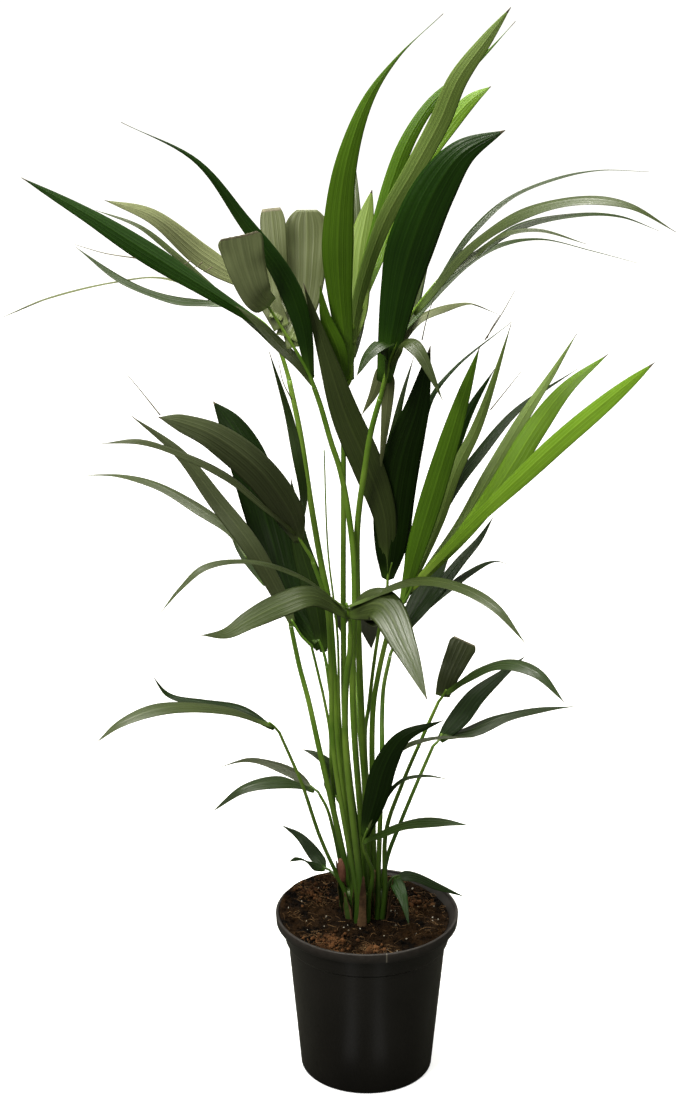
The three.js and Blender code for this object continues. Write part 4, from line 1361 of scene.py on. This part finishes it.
    def build(self, shop: Workshop) -> None:
        """Makes the ground, then what lies on it, each kind joined in one piece."""
        draw = np.random.default_rng(self.seed + 1)
        peat, coir = shop.plain("peat", PEAT), shop.plain("coir", COIR)
        settle(self.ground().build("soil_bed", [peat]), "soil", "soil")
        share, angle = self.scatter(self.crumbs, draw)
        sizes = np.exp(draw.normal(0.1, 0.5, self.crumbs)).clip(0.6, 3.4)
        places = self.surface(share, angle) + [0, 0, 0.2]
        settle(self.crumb_shape(places, sizes, draw).build("peat_crumbs", [peat]), "soil")
        spots = [self.near(x, y, spread, count, draw) for x, y, spread, count in self.coir_clumps]
        share, angle = (np.concatenate(part) for part in zip(*spots))
        raised = np.column_stack([np.zeros((len(share), 2)), draw.uniform(0, 3, len(share))])
        places = self.surface(share, angle) + raised
        sizes = np.exp(draw.normal(0.35, 0.45, len(share))).clip(0.7, 3.6)
        settle(self.crumb_shape(places, sizes, draw).build("coir_crumbs", [coir]), "soil")
        share, angle = self.scatter(self.fibres // 2, draw)
        near_each = self.fibres // 8
        clumps = [self.near(x, y, spread * 1.3, near_each, draw) for x, y, spread, _ in self.coir_clumps]
        share = np.concatenate([share, *(part[0] for part in clumps)])
        angle = np.concatenate([angle, *(part[1] for part in clumps)])
        count = len(share)
        length, thick = draw.uniform(7, 24, count), draw.uniform(0.16, 0.34, count)
        strands = self.strands(share, angle, length, thick, draw)
        settle(strands.build("coir_fibres", [shop.plain("straw", STRAW)]), "soil")
        share, angle = self.scatter(self.perlite, draw, 0.93)
        places = self.surface(share, angle) + [0, 0, 0.9]
        lumps = self.crumb_shape(places, draw.uniform(0.5, 1.25, self.perlite), draw)
        settle(lumps.build("perlite_specks", [shop.plain("perlite", PERLITE)]), "soil")


# --- petioles and sheaths --------------------------------------------------------------------------------


@dataclass(frozen=True)
class Limbs:
    """The petioles, which run down as sheathed bases into the soil, and what wraps or hangs from them."""

    seat_ring: float = 7.0
    gap: float = 0.3
    foot_height: float = 184.0
    foot_ring: float = 6.4
    flare: float = 1.45
    flare_from: float = 262.0
    rows: int = 64
    sheathed_rows: int = 9
    sides: int = 14
    channel: float = 0.35
    wraps: int = 3
    wrap_radius: float = 12.2
    wrap_thickness: float = 0.5
    core_radius: float = 6.5
    dead_share: float = 0.2
    thread: float = 0.75
    scale_path: Path = ((-27, -14, 240), (-29, -16, 256), (-31, -15, 271))
    scale_radius: float = 4.6
    seed: int = 5

    def on_ring(self, middle: Point, radius: float, bearing: float, height: float) -> Array:
        """The point at a bearing on a level ring, given the ring's middle, radius and height."""
        angle = math.radians(bearing)
        return np.array([middle[0] + radius * math.cos(angle), middle[1] + radius * math.sin(angle), height])

    def seat(self, stem: str, bearing: float) -> Array:
        """Where a petiole passes its stem's top."""
        top = STEMS[stem].top
        return self.on_ring(top, self.seat_ring, bearing, top[2] + self.gap)

    def root(self, stem: str, bearing: float) -> Array:
        """Where its sheathed base enters the soil."""
        return self.on_ring(STEMS[stem].foot, self.foot_ring, bearing, self.foot_height)

    def curve(self, stem: str, bearing: float, path: Path) -> Array:
        """The axis from the soil to the joint, as rows of points."""
        seat = self.seat(stem, bearing)
        above = spline(np.vstack([seat, np.array(path, float)]), np.linspace(0, 1, self.rows))
        shares = np.linspace(0, 0.5, self.sheathed_rows + 1)
        below = spline(np.vstack([self.root(stem, bearing), seat, above[4]]), shares)[:-1]
        return np.vstack([below, above])

    def limb(self, shape: Shape, stem: str, bearing: float, radii: tuple[float, float], path: Path) -> None:
        """Adds one petiole: radius falling evenly from foot to joint, flared and flattened at the sheath."""
        centres = self.curve(stem, bearing, path)
        t = np.clip((np.arange(len(centres)) - self.sheathed_rows) / (self.rows - 1), 0, 1)
        radius = radii[0] + (radii[1] - radii[0]) * t
        sheath = 1 - smooth(centres[:, 2], self.foot_height, self.flare_from)
        radius = radius * (1 + (self.flare - 1) * sheath)
        away = centres[0, :2] - np.array(STEMS[stem].foot)
        tube(
            shape, centres, radius, sides=self.sides, channel=self.channel,
            squash=1 - 0.22 * sheath, facing=(-away[0], -away[1], 0.0),
        )

    def wrap(
        self,
        shape: Shape,
        stem: Stem,
        bearing: float,
        rise: float,
        span: float,
        dead: bool,
        draw: np.random.Generator,
    ) -> None:
        """Adds a sheath: a strip on a cylinder round the stem, lens-shaped in section.

        Its half angle is `span`, times 1 minus 0.85 of the place up it to the power 1.7, times a slow sine.

        Args:
            shape: the mesh in the making.
            stem: the stem that it wraps.
            bearing: the middle of the strip, in degrees.
            rise: its height.
            span: its half angle at the soil, in degrees.
            dead: True to make it dry all over, not only at its margins and top.
            draw: the random numbers.
        """
        rows, columns = 16, 9
        t = np.linspace(0, 1, rows)[:, None]
        u = np.linspace(-1, 1, columns)[None, :]
        foot, top = np.array([*stem.foot, self.foot_height]), np.array(stem.top)
        axis = foot + (top - foot) * (t * rise / (top[2] - foot[2]))
        half = span * (1 - 0.85 * t**1.7) * (1 + 0.12 * np.sin(9 * t + bearing))
        angle = math.radians(bearing) + np.radians(half) * u
        radius = self.wrap_radius + 1.4 * t + draw.normal(0, 0.18, (rows, columns)) + 0.6 * u**2
        thick = self.wrap_thickness * np.sqrt(np.clip(1 - u**2, 0, 1)) / 2
        out = np.stack([np.cos(angle), np.sin(angle), np.zeros_like(angle)], -1)
        outer = axis[:, None] + out * (radius + thick)[..., None]
        inner = axis[:, None] + out * (radius - thick)[..., None]
        grid = np.concatenate([outer, inner[:, -2:0:-1]], axis=1)
        places = np.zeros((*grid.shape[:2], 2))
        around = np.abs(np.concatenate([u[0], u[0][-2:0:-1]]))[::-1]
        dry = (around[None, :] > 0.7) | (t[:-1] > 0.86) | dead
        shape.rings(grid[:, ::-1], places, np.where(dry, 0, 1))

    def build(self, shop: Workshop) -> None:
        """Makes the petioles, the spear leaf, the loose threads, the old scale and each stem's sheaths."""
        green = shop.plain("petiole_green", PETIOLE)
        for frond in FRONDS:
            shape = Shape()
            self.limb(shape, frond.stem, frond.seat, frond.radii, frond.petiole)
            settle(shape.build(f"stalk_{frond.name}", [green]), "petiole", f"petiole_{frond.name}")
        shape = Shape()
        self.limb(shape, SPEAR.stem, SPEAR.seat, SPEAR.radii, SPEAR.path)
        settle(shape.build("rolled_leaf", [green]), "petiole", "spear_leaf")
        shape = Shape()
        for path in THREADS:
            thick = np.linspace(self.thread / 3, self.thread, 12)
            tube(shape, spline(np.array(path, float), np.linspace(0, 1, 12)), thick, sides=5)
        settle(shape.build("loose_threads", [shop.plain("thread", HAIR)]), "petiole")
        shape = Shape()
        t = np.linspace(0, 1, 12)
        centres = spline(np.array(self.scale_path, float), t)
        tube(shape, centres, self.scale_radius * np.sqrt(np.sin(math.pi * (0.02 + 0.96 * t))), squash=0.45)
        settle(shape.build("old_scale", [shop.plain("scale", SCALE)]), "stem")
        draw = np.random.default_rng(self.seed)
        for name, stem in STEMS.items():
            shape = Shape()
            for k in range(self.wraps):
                bearing = draw.uniform(0, 360) / self.wraps + 360 * k / self.wraps
                rise, span = draw.uniform(34, 76), draw.uniform(22, 40)
                self.wrap(shape, stem, bearing, rise, span, draw.uniform() < self.dead_share, draw)
            foot, top = np.array([*stem.foot, self.foot_height]), np.array(stem.top)
            core = foot + (top - foot) * np.linspace(0, 1, 6)[:, None]
            tube(shape, core, np.full(6, self.core_radius), slot=1, sides=12)
            finishes = [shop.plain("dry_sheath", DRY), shop.plain("green_sheath", SHEATH)]
            settle(shape.build(f"sheaths_{name}", finishes), "stem", f"stem_{name}")


# --- fronds ------------------------------------------------------------------------------------------------


@dataclass(frozen=True)
class Blades:
    """The fronds' blades: a rib, and on it pleated leaflets folded along their midribs."""

    gap: float = 0.3
    rib_tip: float = 1.3
    rib_rows: int = 20
    rows: int = 44
    columns: int = 17
    root_share: float = 0.32
    wedge_root_share: float = 0.52
    tip_width: float = 0.7
    thickness: float = 0.42
    keel: float = 0.55
    fold: float = 0.21
    pleats: float = 3.0
    pleat_depth: float = 0.011
    ripple: float = 0.05
    dry_from: float = 0.982
    slots: dict[str, str] = field(
        default_factory=lambda: {
            "top": "leaf_bright",
            "right": "leaf_bright",
            "upper_left_inner": "leaf_olive",
            "mid_left_front": "leaf_olive",
        }
    )
    seed: int = 11

    def rib(self, frond: Frond) -> Array:
        """The points of the rib's curve, going on from its petiole's end."""
        limbs = Limbs()
        start = np.vstack([limbs.seat(frond.stem, frond.seat), np.array(frond.petiole, float)])
        joint = start[-1]
        onward = unit(joint - spline(start, np.array([0.9995]))[0])
        begin = joint + onward * self.gap
        return np.vstack([begin, begin + onward * frond.radii[1], np.array(frond.rib, float)])

    def along(self, points: Array, share: float) -> Array:
        """The point at a share of the curve's length."""
        fine = spline(points, np.linspace(0, 1, 400))
        run = run_length(fine)
        return np.array([np.interp(share * run[-1], run, fine[:, k]) for k in range(3)])

    def width_share(self, t: Array, leaf: Leaflet) -> Array:
        """The width along a leaflet, as a share of its full width.

        A quarter sine up from the root, or a straight wedge on a blunt one; beyond the widest place 1 minus
        the rest to the power `taper`, itself to the power `slim`, with the blunt tip's share kept.

        Args:
            t: places along it, 0 to 1.
            leaf: its sizes.

        Returns:
            The share at each place.
        """
        share = np.clip(t / leaf.widest, 0, 1)
        root = self.wedge_root_share if leaf.cut else self.root_share
        rise = root + (1 - root) * (share if leaf.cut else np.sin(math.pi / 2 * share))
        left = 1 - np.clip((t - leaf.widest) / (1 - leaf.widest), 0, 1) ** leaf.taper
        return np.where(t < leaf.widest, rise, leaf.cut + (1 - leaf.cut) * left**leaf.slim)

    def leaflet(
        self, shape: Shape, root: Array, leaf: Leaflet, slots: tuple[int, int, int], draw: np.random.Generator
    ) -> None:
        """Adds a leaflet.

        Its axis is a curve through the path. At the share t along it and u across, -1 to 1, a point lies
        u half widths to the side, and up by: minus the fold times |u|, plus pleats as a cosine of u,
        plus a ripple of the margins as a sine of t. The upper and under faces lie half the thickness
        apart from that, by the root of 1-u², and a keel runs under the midrib.

        Args:
            shape: the mesh in the making.
            root: where it leaves the rib.
            leaf: its sizes.
            slots: the material slots of its upper face, under face and tip.
            draw: the random numbers.
        """
        t = np.linspace(0, 1, self.rows)
        centres = spline(np.vstack([root, np.array(leaf.path, float)]), t)
        tilt, turn = math.radians(leaf.tilt), math.radians(leaf.turn)
        face = np.array([math.sin(turn) * math.sin(tilt), -math.cos(turn) * math.sin(tilt), math.cos(tilt)])
        along = tangents(centres)
        across = unit(np.cross(along, face))
        upper = unit(np.cross(across, along))
        half = np.maximum(leaf.width * self.width_share(t, leaf), self.tip_width)[:, None] / 2
        u = np.linspace(-1, 1, self.columns)[None, :]
        bend = self.fold * leaf.fold * (1 + 2.6 * np.exp(-((t / 0.09) ** 2)))[:, None]
        drop = -bend * half * (np.sqrt(u**2 + 0.01) - 0.1)
        depth = self.pleat_depth * leaf.width * (half * 2 / leaf.width) ** 0.7
        pleat = depth * np.cos(2 * math.pi * self.pleats * u) * (1 - u**4)
        waves, start = draw.uniform(1.5, 3.0), draw.uniform(0, 2 * math.pi)
        swing = np.sin(2 * math.pi * waves * t + start)[:, None]
        ripple = self.ripple * half * swing * np.abs(u) ** 2 * np.sign(u)
        lift = drop + pleat + ripple
        thin = self.thickness * (1 - 0.5 * t)[:, None] * np.sqrt(1 - u**2) / 2
        keel = self.keel * np.exp(-((u * half / 0.9) ** 2)) * (1 - 0.8 * t)[:, None]
        side = centres[:, None] + (u * half)[..., None] * across[:, None]
        top = side + (lift + thin + 0.35 * keel)[..., None] * upper[:, None]
        under = side + (lift - thin - keel * np.sqrt(1 - u**2))[..., None] * upper[:, None]
        grid = np.concatenate([top, under[:, -2:0:-1]], axis=1)
        v = np.broadcast_to(t[:, None], (self.rows, grid.shape[1]))
        across_place = np.concatenate([(u[0] + 1) / 2, ((u[0] + 1) / 2)[-2:0:-1]])
        places = np.stack(np.broadcast_arrays(across_place[None, :], v), -1)
        kinds = np.concatenate([np.full(self.columns - 1, slots[0]), np.full(self.columns - 1, slots[1])])
        kinds = np.repeat(kinds[None, :], self.rows - 1, axis=0)
        kinds[t[1:] > self.dry_from] = slots[2]
        shape.rings(grid, places, kinds)

    def build(self, shop: Workshop) -> None:
        """Makes each frond's blade one piece, with the tones of its leaflets as material slots."""
        draw = np.random.default_rng(self.seed)
        stalk, tip = shop.plain("petiole_green", PETIOLE), shop.plain("dry_tip", TIP)
        paper = shop.plain("papery_edge", PAPER)
        for frond in FRONDS:
            shape = Shape()
            materials = [stalk, tip, paper]
            points = self.rib(frond)
            rows = spline(points, np.linspace(0, 1, self.rib_rows))
            tube(shape, rows, np.linspace(frond.radii[1], self.rib_tip, self.rib_rows), sides=10, channel=0.3)
            for leaf in frond.leaflets:
                pair = [shop.leaf(leaf.tone, side) for side in (Side.UPPER, Side.UNDER)]
                materials += [m for m in pair if m not in materials]
                end = 1 if not leaf.cut else 2 if leaf.cut > 0.6 else materials.index(pair[0])
                slots = (materials.index(pair[0]), materials.index(pair[1]), end)
                self.leaflet(shape, self.along(points, leaf.at), leaf, slots, draw)
            slot = self.slots.get(frond.name, "leaf_dark")
            settle(shape.build(f"blade_{frond.name}", materials), slot, f"frond_{frond.name}")


# --- the studio --------------------------------------------------------------------------------------------


@dataclass(frozen=True)
class Studio:
    """Floor, camera and lights."""

    image: tuple[int, int] = (680, 1096)
    camera_at: Point = (-0.031, -2.6, 1.597)
    pitch: float = 20.2
    focal_pixels: float = 2543.0
    sensor: float = 36.0
    floor_size: float = 60.0
    card_size: tuple[float, float] = (0.035, 0.36)
    card_reach: float = 0.30
    room_low: Colour = (0.12, 0.12, 0.10)
    room_high: Colour = (0.62, 0.61, 0.52)

    def camera(self) -> None:
        """The camera, whose lens is the focal length in image heights times the sensor's height."""
        data = bpy.data.cameras.new("view")
        data.sensor_fit = "VERTICAL"
        data.sensor_height = self.sensor
        data.lens = self.sensor * self.focal_pixels / self.image[1]
        data.clip_end = 200.0
        camera = linked("view", data)
        camera.location = self.camera_at
        camera.rotation_euler = (math.radians(90 - self.pitch), 0, 0)
        bpy.context.scene.camera = camera

    def lamp(
        self, name: str, at: Point, aim: Point, size: tuple[float, float], watts: float, tint: Colour
    ) -> None:
        """A rectangular softbox that looks at a point."""
        data = bpy.data.lights.new(name, "AREA")
        data.shape = "RECTANGLE"
        data.size, data.size_y = size
        data.energy = watts
        data.color = tint
        lamp = linked(name, data)
        lamp.location = at
        away = unit(np.array(at, float) - np.array(aim, float))
        lamp.rotation_euler = (math.acos(away[2]), 0, math.atan2(away[1], away[0]) + math.pi / 2)

    def floor(self, shop: Workshop) -> None:
        """A flat floor under the pot."""
        edge = self.floor_size / 2
        mesh = bpy.data.meshes.new("floor")
        corners = [(-edge, -edge, 0), (edge, -edge, 0), (edge, edge, 0), (-edge, edge, 0)]
        mesh.from_pydata(corners, [], [(0, 1, 2, 3)])
        mesh.materials.append(shop.floor())
        linked("floor", mesh)

    def card(self, name: str, bearing: float, watts: float) -> None:
        """A lit strip lying on the floor in front, pointing at the pot, for a soft highlight up its wall."""
        data = bpy.data.lights.new(name, "AREA")
        data.shape, data.size, data.size_y, data.energy = "RECTANGLE", *self.card_size, watts
        lamp = linked(name, data)
        angle = math.radians(bearing)
        lamp.location = (self.card_reach * math.sin(angle), -self.card_reach * math.cos(angle), 0.004)
        lamp.rotation_euler = (math.pi, 0.0, angle)

    def sky(self) -> None:
        """A white backdrop, and round the plant a soft room: bright overhead, dim at eye level."""
        world = bpy.data.worlds.new("room")
        bpy.context.scene.world = world
        world.use_nodes = True
        n = Nodes(world.node_tree)
        place = n.add("ShaderNodeTexCoord")
        split = n.add("ShaderNodeSeparateXYZ")
        n.join(place.outputs["Generated"], split.inputs[0])
        shade = n.blend(n.ramp(split.outputs[2], -0.1, 0.9, soft=True), self.room_low, self.room_high)
        seen = n.add("ShaderNodeLightPath")
        n.join(
            n.blend(seen.outputs["Is Camera Ray"], shade, (1.0, 1.0, 1.0)),
            world.node_tree.nodes["Background"].inputs["Color"],
        )

    def build(self, shop: Workshop) -> None:
        """Sets the room up."""
        self.camera()
        self.floor(shop)
        self.sky()
        self.lamp("overhead", (-0.2, 0.6, 3.6), (0, 0, 0.6), (2.4, 2.0), 95.0, (1.0, 0.98, 0.88))
        self.lamp("key", (-1.7, -2.3, 2.9), (0, 0, 0.7), (1.1, 1.1), 75.0, (1.0, 0.97, 0.87))
        self.lamp("glint", (-0.53, -0.20, 3.5), (0.037, -0.146, 0.58), (0.30, 0.30), 55.0, (1.0, 0.98, 0.92))
        self.card("card_left", -20.0, 0.012)
        self.card("card_right", 15.0, 0.010)
        bpy.context.scene.view_settings.view_transform = "Standard"


def main() -> None:
    """Builds the studio, then the pot, the soil, the limbs and the blades, and reports each."""
    logging.basicConfig(level=logging.INFO, format="%(name)s: %(message)s", stream=sys.stdout)
    shop = Workshop()
    for part in (Studio(), Pot(), Soil(), Limbs(), Blades()):
        LOG.info("building %s", type(part).__name__)
        part.build(shop)


if __name__ == "__main__":
    main()
